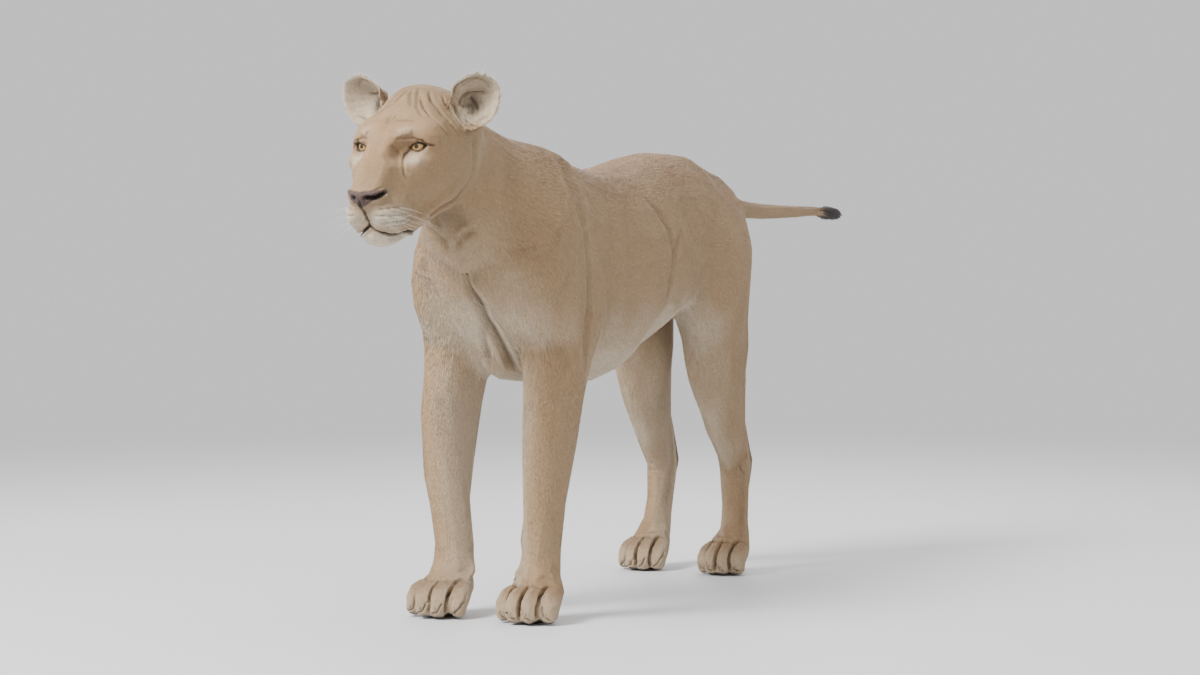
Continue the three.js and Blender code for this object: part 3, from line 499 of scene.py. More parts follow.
# folds are pressed in along lines: node, depth and width in mm, places as shares of the node's box
# a plus depth is a groove and a minus one a ridge
creases = {
    "foreheadOuter": ("head", 4.8, 3.4, [
        (0.6, 0.48, 0.93), (0.69, 0.43, 0.85), (0.81, 0.4, 0.77), (0.91, 0.41, 0.69),
        (0.93, 0.44, 0.63)]),
    "foreheadMiddle": ("head", 5.0, 3.6, [
        (0.65, 0.53, 0.95), (0.72, 0.49, 0.87), (0.82, 0.49, 0.79), (0.9, 0.51, 0.71),
        (0.95, 0.54, 0.65)]),
    "foreheadInner": ("head", 4.6, 3.6, [
        (0.74, 0.57, 0.92), (0.81, 0.55, 0.84), (0.89, 0.57, 0.76), (0.98, 0.58, 0.69)]),
    "foreheadTop": ("head", 3.2, 4.2, [(0.52, 0.5, 0.95), (0.55, 0.45, 0.89), (0.61, 0.4, 0.83)]),
    "earRoot": ("head", 5.0, 4.0, [
        (0.81, 0.58, 0.86), (0.89, 0.58, 0.8), (0.96, 0.6, 0.73), (1.08, 0.6, 0.69)]),
    "browPit": ("head", 3.2, 4.0, [(0.53, 0.32, 0.79), (0.505, 0.27, 0.73)]),
    "browLine": ("head", 2.6, 3.6, [(0.55, 0.28, 0.74), (0.64, 0.3, 0.74), (0.72, 0.31, 0.74)]),
    "browRidge": ("head", -5.5, 7.0, [(0.64, 0.23, 0.655), (0.69, 0.24, 0.66), (0.75, 0.26, 0.67)]),
    "lidFold": ("head", 3.6, 2.6, [
        (0.67, 0.22, 0.605), (0.72, 0.24, 0.62), (0.79, 0.26, 0.615), (0.86, 0.29, 0.595)]),
    "lidTail": ("head", 3.0, 2.2, [(0.83, 0.27, 0.595), (0.87, 0.29, 0.585), (0.91, 0.32, 0.575)]),
    "tearGroove": ("head", 3.2, 3.0, [
        (0.72, 0.26, 0.55), (0.69, 0.25, 0.52), (0.7, 0.22, 0.48), (0.73, 0.19, 0.43), (0.74, 0.19, 0.38),
        (0.78, 0.2, 0.34)]),
    "cheekSwell": ("head", -3.0, 10.0, [(0.8, 0.24, 0.5), (0.88, 0.28, 0.47), (0.93, 0.35, 0.43)]),
    "noseEdge": ("head", 2.0, 2.4, [
        (0.5, -0.02, 0.272), (0.58, -0.01, 0.275), (0.63, 0.03, 0.29), (0.665, 0.07, 0.3)]),
    "nostril": ("head", 12.0, 3.5, [
        (0.545, -0.01, 0.235), (0.58, 0.0, 0.232), (0.62, 0.02, 0.238), (0.655, 0.05, 0.262),
        (0.68, 0.08, 0.278)]),
    "philtrum": ("head", 4.5, 2.4, [
        (0.502, -0.01, 0.21), (0.502, 0.01, 0.165), (0.502, 0.05, 0.12), (0.502, 0.08, 0.07)]),
    "mouth": ("head", 9.0, 2.6, [
        (0.502, 0.09, 0.062), (0.52, 0.1, 0.045), (0.58, 0.11, 0.015), (0.65, 0.14, -0.005),
        (0.69, 0.19, 0.0), (0.71, 0.22, 0.01), (0.72, 0.25, 0.01), (0.725, 0.29, 0.01),
        (0.74, 0.33, 0.0)]),
    "lowerLip": ("head", -2.5, 3.4, [(0.69, 0.24, -0.03), (0.72, 0.28, -0.025), (0.73, 0.32, -0.03)]),
    "whiskerRowTop": ("head", 1.4, 2.4, [
        (0.61, 0.04, 0.16), (0.67, 0.06, 0.16), (0.71, 0.09, 0.17), (0.74, 0.14, 0.17)]),
    "whiskerRowUpper": ("head", 1.8, 2.5, [
        (0.59, 0.04, 0.12), (0.67, 0.06, 0.12), (0.73, 0.1, 0.12), (0.76, 0.2, 0.13)]),
    "whiskerRowLower": ("head", 1.8, 2.5, [
        (0.61, 0.06, 0.08), (0.69, 0.09, 0.08), (0.75, 0.16, 0.08), (0.76, 0.26, 0.11)]),
    "whiskerRowLow": ("head", 1.4, 2.4, [
        (0.64, 0.09, 0.05), (0.7, 0.12, 0.05), (0.74, 0.2, 0.06), (0.76, 0.27, 0.09)]),
    "cheekRuff": ("head", 5.0, 13.0, [
        (0.97, 0.7, 0.66), (0.98, 0.67, 0.57), (0.99, 0.66, 0.47), (0.97, 0.66, 0.38), (0.93, 0.62, 0.29),
        (0.9, 0.56, 0.23)]),
    "jawEdge": ("head", 12.0, 8.0, [
        (0.95, 0.63, 0.33), (0.92, 0.58, 0.26), (0.87, 0.51, 0.19), (0.84, 0.47, 0.16),
        (0.81, 0.43, 0.13), (0.79, 0.4, 0.1)]),
    "jawRidge": ("head", -4.5, 9.0, [
        (0.77, 0.31, 0.07), (0.79, 0.35, 0.13), (0.83, 0.39, 0.18), (0.89, 0.43, 0.23),
        (0.94, 0.48, 0.28), (0.98, 0.54, 0.35)]),
    "foreheadRidge": ("head", -2.4, 3.4, [
        (0.63, 0.505, 0.94), (0.705, 0.46, 0.86), (0.815, 0.445, 0.78), (0.905, 0.46, 0.7)]),
    "crownFold": ("head", 3.4, 4.2, [
        (0.57, 0.52, 0.97), (0.6, 0.46, 0.9), (0.66, 0.41, 0.82), (0.74, 0.37, 0.75)]),
    "faceCrease": ("head", 1.8, 2.4, [
        (0.61, 0.17, 0.58), (0.63, 0.2, 0.56), (0.64, 0.22, 0.54), (0.67, 0.225, 0.51)]),
    "browFold": ("head", 2.4, 2.6, [
        (0.64, 0.21, 0.62), (0.66, 0.22, 0.62), (0.72, 0.24, 0.635), (0.76, 0.25, 0.64)]),
    "snoutBump": ("head", -3.0, 5.5, [(0.62, 0.1, 0.48), (0.64, 0.11, 0.45), (0.67, 0.13, 0.41)]),
    "chinSide": ("head", 4.5, 5.0, [
        (0.62, 0.15, -0.05), (0.64, 0.17, -0.04), (0.67, 0.21, -0.03), (0.69, 0.27, -0.02)]),
    "bridgeLine": ("head", 0.0, 8.0, [(0.5, 0.3, 0.72), (0.5, 0.12, 0.5), (0.5, 0.02, 0.34)]),
    "earRim": ("ear_left", 2.6, 2.8, [
        (0.09, 0.1, 0.59), (0.16, 0.09, 0.74), (0.3, 0.15, 0.86), (0.46, 0.28, 0.89), (0.61, 0.46, 0.84),
        (0.67, 0.61, 0.74)]),
    "earArch": ("ear_left", 4.0, 3.4, [
        (0.09, 0.29, 0.41), (0.14, 0.47, 0.55), (0.25, 0.63, 0.63), (0.4, 0.74, 0.66),
        (0.55, 0.77, 0.65)]),
    "earSlit": ("ear_left", 6.0, 3.4, [
        (0.22, 0.66, 0.6), (0.25, 0.69, 0.56), (0.32, 0.77, 0.46), (0.37, 0.75, 0.33)]),
    "earKnob": ("ear_left", -4.0, 4.0, [(0.15, 0.51, 0.38), (0.18, 0.54, 0.34), (0.2, 0.57, 0.31)]),
    "earKnobEdge": ("ear_left", 4.0, 2.8, [
        (0.1, 0.42, 0.44), (0.19, 0.6, 0.45), (0.27, 0.68, 0.38), (0.28, 0.66, 0.28)]),
    "earLow": ("ear_left", 3.4, 3.2, [(0.34, 0.56, 0.19), (0.48, 0.63, 0.22), (0.64, 0.61, 0.27)]),
    "earFront": ("ear_left", 4.2, 3.4, [
        (0.02, 0.02, 0.54), (0.09, 0.28, 0.34), (0.24, 0.46, 0.19), (0.45, 0.38, 0.1)]),
    "throatFirst": ("neck", 5.4, 7.0, [(0.69, 0.24, 0.44), (0.6, 0.21, 0.4), (0.54, 0.24, 0.35)]),
    "throatSecond": ("neck", 3.6, 9.0, [(0.62, 0.05, 0.49), (0.56, 0.17, 0.43), (0.54, 0.22, 0.38)]),
    "throatThird": ("neck", 2.6, 9.0, [(0.66, 0.02, 0.53), (0.62, 0.1, 0.49), (0.63, 0.17, 0.44)]),
    "collar": ("chest", 5.0, 15.0, [
        (0.25, -0.15, 0.54), (0.4, -0.17, 0.49), (0.49, -0.16, 0.46), (0.57, -0.15, 0.45),
        (0.67, -0.14, 0.47), (0.76, -0.12, 0.49), (0.85, -0.07, 0.51)]),
    "breastNotch": ("chest", 6.0, 5.0, [
        (0.55, -0.155, 0.465), (0.57, -0.15, 0.45), (0.585, -0.13, 0.41)]),
    "breastGroove": ("chest", 15.0, 9.0, [
        (0.575, -0.14, 0.43), (0.59, -0.11, 0.39), (0.61, -0.04, 0.34), (0.6, 0.04, 0.27),
        (0.62, 0.11, 0.22), (0.62, 0.2, 0.16), (0.62, 0.28, 0.1), (0.6, 0.4, 0.05)]),
    "breastKeel": ("chest", 6.0, 8.0, [
        (0.55, 0.04, 0.26), (0.5, 0.08, 0.21), (0.44, 0.17, 0.15), (0.4, 0.3, 0.1)]),
    "shoulderFront": ("chest", 4.6, 24.5, [
        (0.83, 0.04, 0.94), (0.9, -0.02, 0.86), (0.92, -0.06, 0.79), (0.94, -0.04, 0.69),
        (0.95, -0.01, 0.6)]),
    "shoulderTop": ("chest", 6.1, 21.0, [
        (0.9, 0.52, 0.94), (0.98, 0.49, 0.88), (1.07, 0.46, 0.81), (1.16, 0.44, 0.72),
        (1.2, 0.45, 0.61)]),
    "shoulderRear": ("shoulder_left", 4.6, 12.0, [
        (0.8, 0.43, 0.75), (0.88, 0.44, 0.65), (0.9, 0.47, 0.52), (0.95, 0.46, 0.4), (0.96, 0.43, 0.27),
        (0.93, 0.43, 0.17), (0.89, 0.44, 0.05)]),
    "armUpper": ("shoulder_left", 3.0, 6.0, [(0.75, 0.2, 0.7), (0.77, 0.15, 0.64), (0.79, 0.1, 0.57)]),
    "armLower": ("shoulder_left", 3.8, 12.3, [(0.9, 0.16, 0.46), (0.88, 0.14, 0.4), (0.85, 0.13, 0.36)]),
    "shoulderPoint": ("shoulder_left", -6.1, 35.0, [
        (0.21, -0.06, 0.59), (0.24, -0.03, 0.53), (0.25, 0.0, 0.47)]),
    "elbowFold": ("shoulder_left", 5.4, 12.3, [
        (0.56, 0.13, 0.22), (0.64, 0.19, 0.17), (0.76, 0.23, 0.14)]),
    "forearmRidge": ("shoulder_left", -4.6, 15.7, [
        (0.66, 0.2, 0.2), (0.59, 0.16, 0.09), (0.5, 0.13, 0.0)]),
    "flankArc": ("belly", 4.2, 11.0, [
        (0.83, 0.36, 0.85), (0.9, 0.41, 0.78), (0.96, 0.48, 0.69), (0.98, 0.49, 0.6), (1.0, 0.49, 0.54),
        (1.0, 0.46, 0.42), (0.98, 0.4, 0.32)]),
    "ribFirst": ("belly", 2.4, 22.7, [
        (0.76, 0.03, 0.89), (0.91, -0.1, 0.75), (0.95, -0.16, 0.58), (1.0, -0.22, 0.39)]),
    "ribSecond": ("belly", 2.4, 22.7, [
        (0.74, 0.22, 0.89), (0.92, 0.06, 0.74), (0.97, 0.0, 0.57), (0.97, -0.05, 0.38)]),
    "flankFold": ("thigh_left", 4.4, 10.0, [
        (0.96, -0.41, 0.82), (1.01, -0.53, 0.72), (1.04, -0.59, 0.64), (1.05, -0.65, 0.51),
        (1.02, -0.67, 0.42)]),
    "kneeHollow": ("thigh_left", 4.6, 28.0, [
        (0.84, -0.03, 0.46), (0.77, 0.07, 0.28), (0.7, 0.2, 0.1)]),
    "thighInner": ("thigh_left", 4.6, 14.0, [
        (0.46, 0.09, 0.19), (0.44, 0.21, 0.08), (0.48, 0.26, -0.04)]),
    "foreInner": ("foreleg_left", 4.6, 10.5, [
        (0.35, 0.07, 1.0), (0.41, 0.05, 0.9), (0.36, 0.04, 0.75), (0.33, 0.03, 0.55)]),
    "foreTendon": ("foreleg_left", -3.1, 12.3, [
        (0.83, 0.17, 0.99), (0.83, 0.15, 0.75), (0.8, 0.12, 0.48), (0.71, 0.13, 0.21)]),
    "foreGroove": ("foreleg_left", 3.3, 8.7, [(0.31, 0.08, 0.93), (0.26, 0.08, 0.76), (0.21, 0.1, 0.59)]),
    "heelGroove": ("hock_left", 3.7, 8.7, [
        (0.79, 0.28, 0.89), (0.77, 0.37, 0.61), (0.82, 0.32, 0.28), (0.93, 0.17, 0.02)]),
    "heelGrooveInner": ("hock_left", 3.7, 8.7, [
        (0.21, 0.45, 0.89), (0.2, 0.42, 0.61), (0.18, 0.32, 0.28)]),
    "shinBone": ("hock_left", -2.2, 8.7, [(0.3, 0.22, 0.8), (0.3, 0.2, 0.5), (0.3, 0.14, 0.2)]),
}


# a smooth line through points
def smoothLine(points, steps=8):
    points = np.array(points)
    padded = np.vstack([2 * points[0] - points[1], points, 2 * points[-1] - points[-2]])
    line = []
    for i in range(len(points) - 1):
        a, b, c, d = padded[i:i + 4]
        for t in np.arange(steps) / steps:
            line.append(0.5 * (2 * b + (c - a) * t + (2 * a - 5 * b + 4 * c - d) * t ** 2
                               + (3 * b - a - 3 * c + d) * t ** 3))
    line.append(points[-1])
    return np.array(line)


# how far places lie from a line, and how far along it
def lineGap(q, line):
    best = np.full(len(q), 1e9)
    along = np.zeros(len(q))
    for i in range(len(line) - 1):
        step = line[i + 1] - line[i]
        t = np.clip((q - line[i]) @ step / max(step @ step, 1e-12), 0, 1)
        gap = ((q - line[i] - t[:, None] * step) ** 2).sum(1)
        closer = gap < best
        best[closer] = gap[closer]
        along[closer] = (i + t[closer]) / (len(line) - 1)
    return np.sqrt(best), along


def around(p, line, reach):
    return np.nonzero(((p > line.min(0) - reach) & (p < line.max(0) + reach)).all(1))[0]


drawn = {}  # each pressed line as it lies on the skin and at its bottom, with its depth and width
pressPlan = {"search": 0.05, "lip": 0.3, "toeLip": 0.15, "fadeOver": 0.18}


def pressLine(p, normals, name, points, depth, width, lip=pressPlan["lip"]):
    line = smoothLine(points)
    close = around(p, line, pressPlan["search"])[::2]
    surface = p[close]
    picked = close[[((surface - q) ** 2).sum(1).argmin() for q in line]]
    top, down = p[picked], normals[picked]
    for row in (top, down):
        row[1:-1] = (row[:-2] + row[1:-1] * 2 + row[2:]) / 4
    zone = around(p, top, 3 * width)
    gap, along = lineGap(p[zone], top)
    r = gap / width
    fadeOver = pressPlan["fadeOver"]
    fade = ramp(along, 0.0, fadeOver) * ramp(1 - along, 0.0, fadeOver) * 0.85 + 0.15
    change = -np.exp(-r ** 2)
    if depth > 0:
        change += lip * np.exp(-(r - 2.0) ** 2)
    p[zone] += normals[zone] * (change * depth * fade)[:, None]
    drawn.setdefault(name, []).append((top, top - unit(down) * depth, depth, width))


def sidesOf(name):
    return (1,) if name in oneSided else (1, -1)


def pressCreases(p, normals):
    for name, (node, depth, width, shares) in creases.items():
        points = np.array([spot(node, share) for share in shares])
        for side in sidesOf(name):
            pressLine(p, normals, name, points * np.array([side, 1, 1]), depth / 1000, width / 1000)


# painted shade in the folds, from 0 to 1: stronger in deep narrow folds and nearer their bottoms
def foldShade(p):
    total = np.zeros(len(p))
    for strokes in drawn.values():
        for top, bottom, depth, width in strokes:
            zone = around(p, bottom, 2.5 * width)
            if depth > 0 and len(zone):
                gap = lineGap(p[zone], bottom)[0]
                shade = min(0.5 * depth / width, 1.0) * np.exp(-(gap / width) ** 2)
                total[zone] = np.maximum(total[zone], shade)
    return total


# the gaps between the toes and the folds over the claws, placed by the claws themselves
# depths, widths and heights are in mm; a line's points are back from the claws and above the ground
toePlan = {
    "gapDepth": 12.5, "gapWidth": 3.4,
    "gapLine": [(0.052, 0.078), (0.032, 0.070), (0.010, 0.052), (0.002, 0.030), (0.008, 0.006)],
    "foldDepth": 4.6, "foldWidth": 4.2,
    "foldReach": 0.6, "foldAt": (0.048, 0.074),
    "sheathDepth": 4.4, "sheathWidth": 2.1,
    "sheathLine": [(-0.62, 0.020, 0.050), (-0.50, 0.004, 0.030), (-0.20, -0.006, 0.016),
                   (0.25, -0.006, 0.013), (0.62, 0.006, 0.012)],  # first a share of half a toe across
    "knuckleSize": (0.0120, 0.020, 0.019), "knuckleHeight": 4.5,
    "knuckleAt": (0.022, 0.026),  # back from the claw and above it
}


def clawsOf(foot):
    return [middleOf(f"{foot}_claw_{i}_left") for i in range(1, 5)]


def swell(p, normals, centre, size, height):
    share = np.exp(-(((p - centre) / np.array(size)) ** 2).sum(1))
    p += normals * (share * height / 1000)[:, None]


def swellToes(p, normals, plan):
    back, high = plan["knuckleAt"]
    for foot in ("fore", "hind"):
        for x, y, z in clawsOf(foot):
            for side in (1, -1):
                knuckle = np.array([side * x, y + back, z + high])
                swell(p, normals, knuckle, plan["knuckleSize"], plan["knuckleHeight"])


def pressToes(p, normals, plan):
    foldBack, foldHigh = plan["foldAt"]
    for foot in ("fore", "hind"):
        claws = sorted(clawsOf(foot), key=lambda c: c[0])
        half = (claws[1][0] - claws[0][0]) / 2
        strokes = []
        for first, second in zip(claws[:-1], claws[1:]):
            x, y = (first[0] + second[0]) / 2, (first[1] + second[1]) / 2
            strokes.append(("gap", [(x, y + back, high) for back, high in plan["gapLine"]]))
        ends = (-half * plan["foldReach"], half * plan["foldReach"])
        fold = [(x + end, y + foldBack, foldHigh) for x, y, z in claws for end in ends]
        strokes.append(("fold", fold))
        for x, y, z in claws:
            sheath = [(x + half * share, y + back, high) for share, back, high in plan["sheathLine"]]
            strokes.append(("sheath", sheath))
        for kind, line in strokes:
            depth, width = plan[kind + "Depth"] / 1000, plan[kind + "Width"] / 1000
            for side in (1, -1):
                points = np.array(line) * np.array([side, 1, 1])
                pressLine(p, normals, kind, points, depth, width, pressPlan["toeLip"])


# soft swellings and hollows of muscle and bone: node, place as shares of its box, size and height in mm
swellings = {
    "whiskerPad": ("head", (0.66, 0.07, 0.115), (17, 26, 17), 5.5),
    "lipEdge": ("head", (0.6, 0.09, 0.055), (20, 20, 8), 3.0),
    "brow": ("head", (0.7, 0.25, 0.665), (16, 16, 9), 4.0),
    "bridgeSide": ("head", (0.64, 0.15, 0.5), (9, 24, 14), -2.8),
    "bridge": ("head", (0.5, 0.1, 0.45), (14, 40, 24), 1.5),
    "innerEye": ("head", (0.66, 0.22, 0.565), (8, 9, 9), 1.2),
    "cheekbone": ("head", (0.86, 0.3, 0.48), (16, 24, 12), 3.5),
    "temple": ("head", (0.86, 0.45, 0.8), (16, 22, 18), -4.5),
    "crownSide": ("head", (0.64, 0.5, 0.96), (18, 26, 16), 2.0),
    "jawSide": ("head", (0.7, 0.2, -0.055), (10, 30, 12), -6.0),
    "chin": ("head", (0.5, 0.1, -0.03), (16, 14, 14), 2.0),
    "shoulderPoint": ("shoulder_left", (0.24, -0.03, 0.53), (34, 34, 46), 6.0),
    "upperArm": ("shoulder_left", (0.85, 0.26, 0.42), (30, 44, 85), 8.0),
    "elbow": ("shoulder_left", (0.75, 0.34, 0.1), (24, 30, 40), 5.0),
    "forearm": ("foreleg_left", (0.62, 0.12, 0.88), (26, 26, 60), 6.0),
    "breast": ("chest", (0.66, -0.08, 0.36), (30, 34, 44), 8.0),
    "shoulderBlade": ("chest", (0.85, 0.34, 0.99), (28, 50, 34), 6.0),
    "thigh": ("thigh_left", (1.0, 0.42, 0.52), (34, 62, 100), 8.0),
    "buttock": ("thigh_left", (0.75, 0.98, 0.6), (34, 34, 70), 3.0),
    "hipBone": ("rump", (0.72, 0.28, 0.97), (26, 34, 24), 5.0),
    "flankHollow": ("belly", (0.95, 0.8, 0.72), (34, 44, 70), -12.0),
    "loinHollow": ("belly", (0.9, 0.1, 0.9), (30, 60, 34), -5.0),
    "calf": ("thigh_left", (0.7, 0.72, 0.1), (28, 30, 44), 4.5),
    "rumpSide": ("rump", (0.9, 0.58, 0.84), (78, 88, 72), -12.0),
    "jawCorner": ("head", (0.86, 0.55, 0.2), (18, 30, 20), 4.0),
    "bellyRear": ("belly", (0.97, 0.26, 0.52), (40, 55, 95), 6.0),
    "throatHollow": ("head", (0.64, 0.83, 0.08), (42, 42, 32), -9.0),
    "shankFront": ("hock_left", (0.35, -0.02, 0.75), (48, 46, 130), 13.0),
    "heel": ("hock_left", (0.5, 1.0, 0.93), (16, 18, 20), 9.0),
}


# places moved bodily: node, place as shares of its box, size and way in mm
shifts = {
    "earInnerRoot": ("ear_left", (0.02, 0.10, 0.45), (13, 20, 20), (-9, -2, 3)),
    "earInnerRim": ("ear_left", (0.12, 0.10, 0.72), (12, 18, 14), (-8, -1, 3)),
    "earOuterRim": ("ear_left", (0.90, 0.40, 0.78), (14, 20, 16), (3, 0, 2)),
    "earBridge": ("ear_left", (0.16, 0.80, 0.50), (18, 18, 26), (-8, 0, 15)),
    "groinArch": ("belly", (0.88, 0.50, 0.20), (70, 66, 78), (0, 0, 46)),
    "groinMiddle": ("belly", (0.5, 0.52, 0.14), (150, 100, 85), (0, 0, 52)),
    "groinCorner": ("belly", (0.80, 0.82, 0.22), (62, 62, 72), (0, 0, 36)),
    "crotch": ("rump", (0.5, -0.06, 0.01), (112, 110, 76), (0, 0, 54)),
    "thighInside": ("thigh_left", (0.22, 0.42, 0.05), (45, 75, 110), (-20, 0, 0)),
    "farThigh": ("thigh_right", (0.76, 0.42, 0.14), (55, 90, 130), (19, 0, 0)),
    "heelDrop": ("hock_left", (0.5, 0.95, 0.90), (42, 42, 55), (0, 3, -12)),
    "chestHollow": ("chest", (0.47, 0.18, 0.13), (36, 60, 62), (0, 30, 0)),
    "foreLean": ("chest", (0.5, 0.30, 0.12), (260, 300, 260), (-12, 0, 0)),
    "foreInner": ("foreleg_left", (0.12, 0.40, 0.80), (38, 75, 120), (11, 0, 0)),
    "croupTop": ("rump", (0.54, -0.08, 0.97), (85, 110, 70), (0, 0, 5.6)),
    "croupSide": ("rump", (0.80, 0.60, 0.88), (76, 95, 72), (-6, 0, -17)),
}


def shapeShifts(p):
    for name, (node, share, size, way) in shifts.items():
        for side in sidesOf(name):
            flip = np.array([side, 1, 1])
            near = np.exp(-(((p - spot(node, share) * flip) / (np.array(size) / 1000)) ** 2).sum(1))
            p += near[:, None] * np.array(way) * flip / 1000


def shapeSwellings(p, normals):
    for node, share, size, height in swellings.values():
        for side in (1, -1):
            centre = spot(node, share) * np.array([side, 1, 1])
            swell(p, normals, centre, np.array(size) / 1000, height)


# where the skin gets finer triangles
def inHeadOrPaw(m):
    head = (m[:, 1] < earHigh[1]) & (m[:, 2] > jawLow[2] - 0.01)
    return head | (m[:, 2] < pawHigh[2])


def besideEye(m):
    return np.minimum(*(((m - eyeCentre(side)) ** 2).sum(1) for side in (1, -1))) < 0.030 ** 2


def buildSkin(plan):
    points, triangles = fleshTriangles()
    corners, quads = closedSkin(points, triangles, plan["grain"], plan["closing"])
    corners, quads = largestShell(corners, quads)
    faces = np.concatenate([quads[:, [0, 2, 1]], quads[:, [0, 3, 2]]])
    corners, faces = splitWhere(corners, faces, inHeadOrPaw)
    corners, faces = splitWhere(corners, faces, besideEye)
    report(f"raw skin, {len(faces)} triangles")
    skin = meshPiece("skin", corners, faces)
    p = cornersOf(skin)
    addWeights(skin, "relax", byZone(p, 1.0, plan["smoothing"]))
    factor = plan["factor"]
    cell = plan["grain"] ** 2 / 1.5
    turns = int(plan["broadest"] ** 2 / (factor * factor * cell))
    applyModifier(skin, "SMOOTH", factor=factor, iterations=turns, vertex_group="relax")
    report(f"smoothed, {turns} turns")
    p, normals = cornersOf(skin), normalsOf(skin)
    grounded = ramp(p[:, 2], 0.004, 0.022)
    depth = plan["closing"] + byZone(p, plan["trunkDepth"], plan["depth"]) * grounded
    p -= normals * depth[:, None]
    p[:, 2] = np.maximum(p[:, 2], plan["ground"])
    moveCorners(skin, p)
    shapeShifts(p)
    moveCorners(skin, p)
    normals = normalsOf(skin)
    shapeSwellings(p, normals)
    swellToes(p, normals, toePlan)
    moveCorners(skin, p)
    normals = normalsOf(skin)
    pressCreases(p, normals)
    pressToes(p, normals, toePlan)
    p = shapeLids(p, eyePlan)
    p[:, 2] = np.maximum(p[:, 2], plan["ground"])
    moveCorners(skin, p)
    report("folds")
    skin.vertex_groups.clear()
    zones = zonesOf(p)
    detailed = np.maximum.reduce([zones["head"], zones["paw"], zones["ear"]])
    addWeights(skin, "spare", 0.06 + 0.94 * (1 - detailed))
    ratio = plan["triangles"] / len(faces)
    if ratio < 1:
        applyModifier(skin, "DECIMATE", ratio=ratio, vertex_group="spare", vertex_group_factor=1.0)
    skin.vertex_groups.clear()
    report(f"thinned skin, {len(skin.data.polygons)} triangles")
    return skin


skin = buildSkin(skinPlan)
fleshNodes = [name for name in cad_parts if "claw" not in name and "eye" not in name]
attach(skin, "root")
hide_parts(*fleshNodes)


# markings, shared by skin and coat
markPlan = {
    "tawny": (0.365, 0.243, 0.132),
    "deep": (0.225, 0.132, 0.066),
    "cream": (0.640, 0.545, 0.410),
    "black": (0.022, 0.015, 0.011),
    "leather": (0.072, 0.040, 0.032),
    "ruddy": (0.365, 0.210, 0.100),
    # how far the painted shade of the fold mark darkens the coat
    "paintedFoldShade": 0.52,
    "hairScale": 420.0, "hairStretch": 0.88,  # the hairs of the bump, drawn out along the coat
    "pebbleScale": 520.0,
    "bumpStrength": 0.75, "bumpDepth": 0.0016,
}
# spots of colour: node, place as shares of its box, reach in metres
spots = {
    "upperLip": ("head", (0.66, 0.10, 0.10), (0.034, 0.040, 0.020)),
    "underEye": ("head", (0.76, 0.26, 0.48), (0.020, 0.022, 0.013)),
    "overEye": ("head", (0.69, 0.25, 0.67), (0.016, 0.020, 0.011)),
    # painted shade deep in the ear, round the canal
    "earCanalShade": ("ear_left", (0.28, 0.68, 0.42), (0.013, 0.022, 0.017)),
    # painted shadow on the throat under the jaw
    "underJawShadow": ("head", (0.52, 0.83, 0.10), (0.052, 0.046, 0.032)),
    # painted shade in the groin arch between the belly and the thighs
    "groinShade": ("belly", (0.5, 0.97, 0.27), (0.120, 0.130, 0.075)),
}
whiskerRows = ("whiskerRowTop", "whiskerRowUpper", "whiskerRowLower", "whiskerRowLow")
# how far colour spreads from a pressed line
spread = {"bridgeLine": 0.016, "tearGroove": 0.0036, "lidTail": 0.0024, "mouth": 0.0034,
          "philtrum": 0.0024, "nostril": 0.0044, **{row: 0.0020 for row in whiskerRows}}
whiskerSpacing = 0.0105


# a soft uneven pattern, with bumps about so long
def wave(p, length, seed, waves=5):
    turns = np.random.default_rng(seed)
    total = np.zeros(len(p))
    for i in range(waves):
        way = turns.normal(size=3)
        way *= (2 * math.pi / length) * turns.uniform(0.6, 1.5) / np.linalg.norm(way)
        total += np.sin(p @ way + turns.uniform(0, 6.28))
    return total / waves * 1.6


# how close places lie to a pressed line, anywhere between its lips and its bottom
def nearLine(p, name):
    width = spread[name]
    result = np.zeros(len(p))
    for top, bottom, depth, _ in drawn[name]:
        zone = around(p, (top + bottom) / 2, 3 * width + abs(depth))
        if len(zone):
            lines = (top, (top + bottom) / 2, bottom)
            gap = np.minimum.reduce([lineGap(p[zone], line)[0] for line in lines])
            result[zone] = np.maximum(result[zone], np.exp(-(gap / width) ** 2))
    return result


def nearSpot(p, name):
    node, share, size = spots[name]
    centre = spot(node, share)
    q = np.stack([np.abs(p[:, 0]) - abs(centre[0]), p[:, 1] - centre[1], p[:, 2] - centre[2]], 1)
    return np.exp(-((q / np.array(size)) ** 2).sum(1))


# cream on the belly, the inner legs, the breast, the jaw, the lips, by the eyes and in the ears
def creamOf(p, normals, zones, body, earInner):
    y, z, up = p[:, 1], p[:, 2], normals[:, 2]
    inward = -np.sign(p[:, 0]) * normals[:, 0]
    patch = 0.12 * wave(p, 0.10, 3)
    belly = 0.80 * body * ramp(-up, 0.0 + patch, 0.95 + patch) * ramp(-z, -0.80, -0.60)
    inner = ramp(inward, -0.3 + patch, 1.2 + patch) * ramp(-z, -elbowHeight - 0.20, -elbowHeight + 0.05)
    paws = 0.30 * zones["paw"] * ramp(-z, -0.075, -0.03)
    breast = ramp(-y, 0.60, 0.80) * ramp(-up, -0.1, 0.9) * ramp(-z, -0.90, -0.80) * ramp(z, 0.50, 0.74)
    jaw = zones["head"] * ramp(-z, -jawHigh[2] + 0.004, -jawHigh[2] + 0.030) * ramp(-y, 0.94, 1.03)
    lip = np.clip(1.25 * nearSpot(p, "upperLip"), 0, 0.92)
    return np.maximum.reduce([belly, 0.50 * body * inner, paws, 0.35 * breast, jaw, lip,
                              0.70 * nearSpot(p, "underEye"), 0.34 * nearSpot(p, "overEye"),
                              0.62 * earInner])


# the deeper colour along the back, on the crown and down the nose
def shadeOf(p, normals, zones, body):
    up = normals[:, 2]
    back = body * ramp(up, 0.25, 0.95) * 0.8 + zones["tail"] * ramp(up, 0.0, 0.9) * 0.6
    crown = 0.55 * zones["head"] * ramp(up, 0.3, 0.95) * (1 - zones["face"])
    shade = np.maximum.reduce([back, crown, 0.35 * nearLine(p, "bridgeLine")])
    return np.clip(shade + 0.10 * wave(p, 0.22, 5) * body, 0, 1)


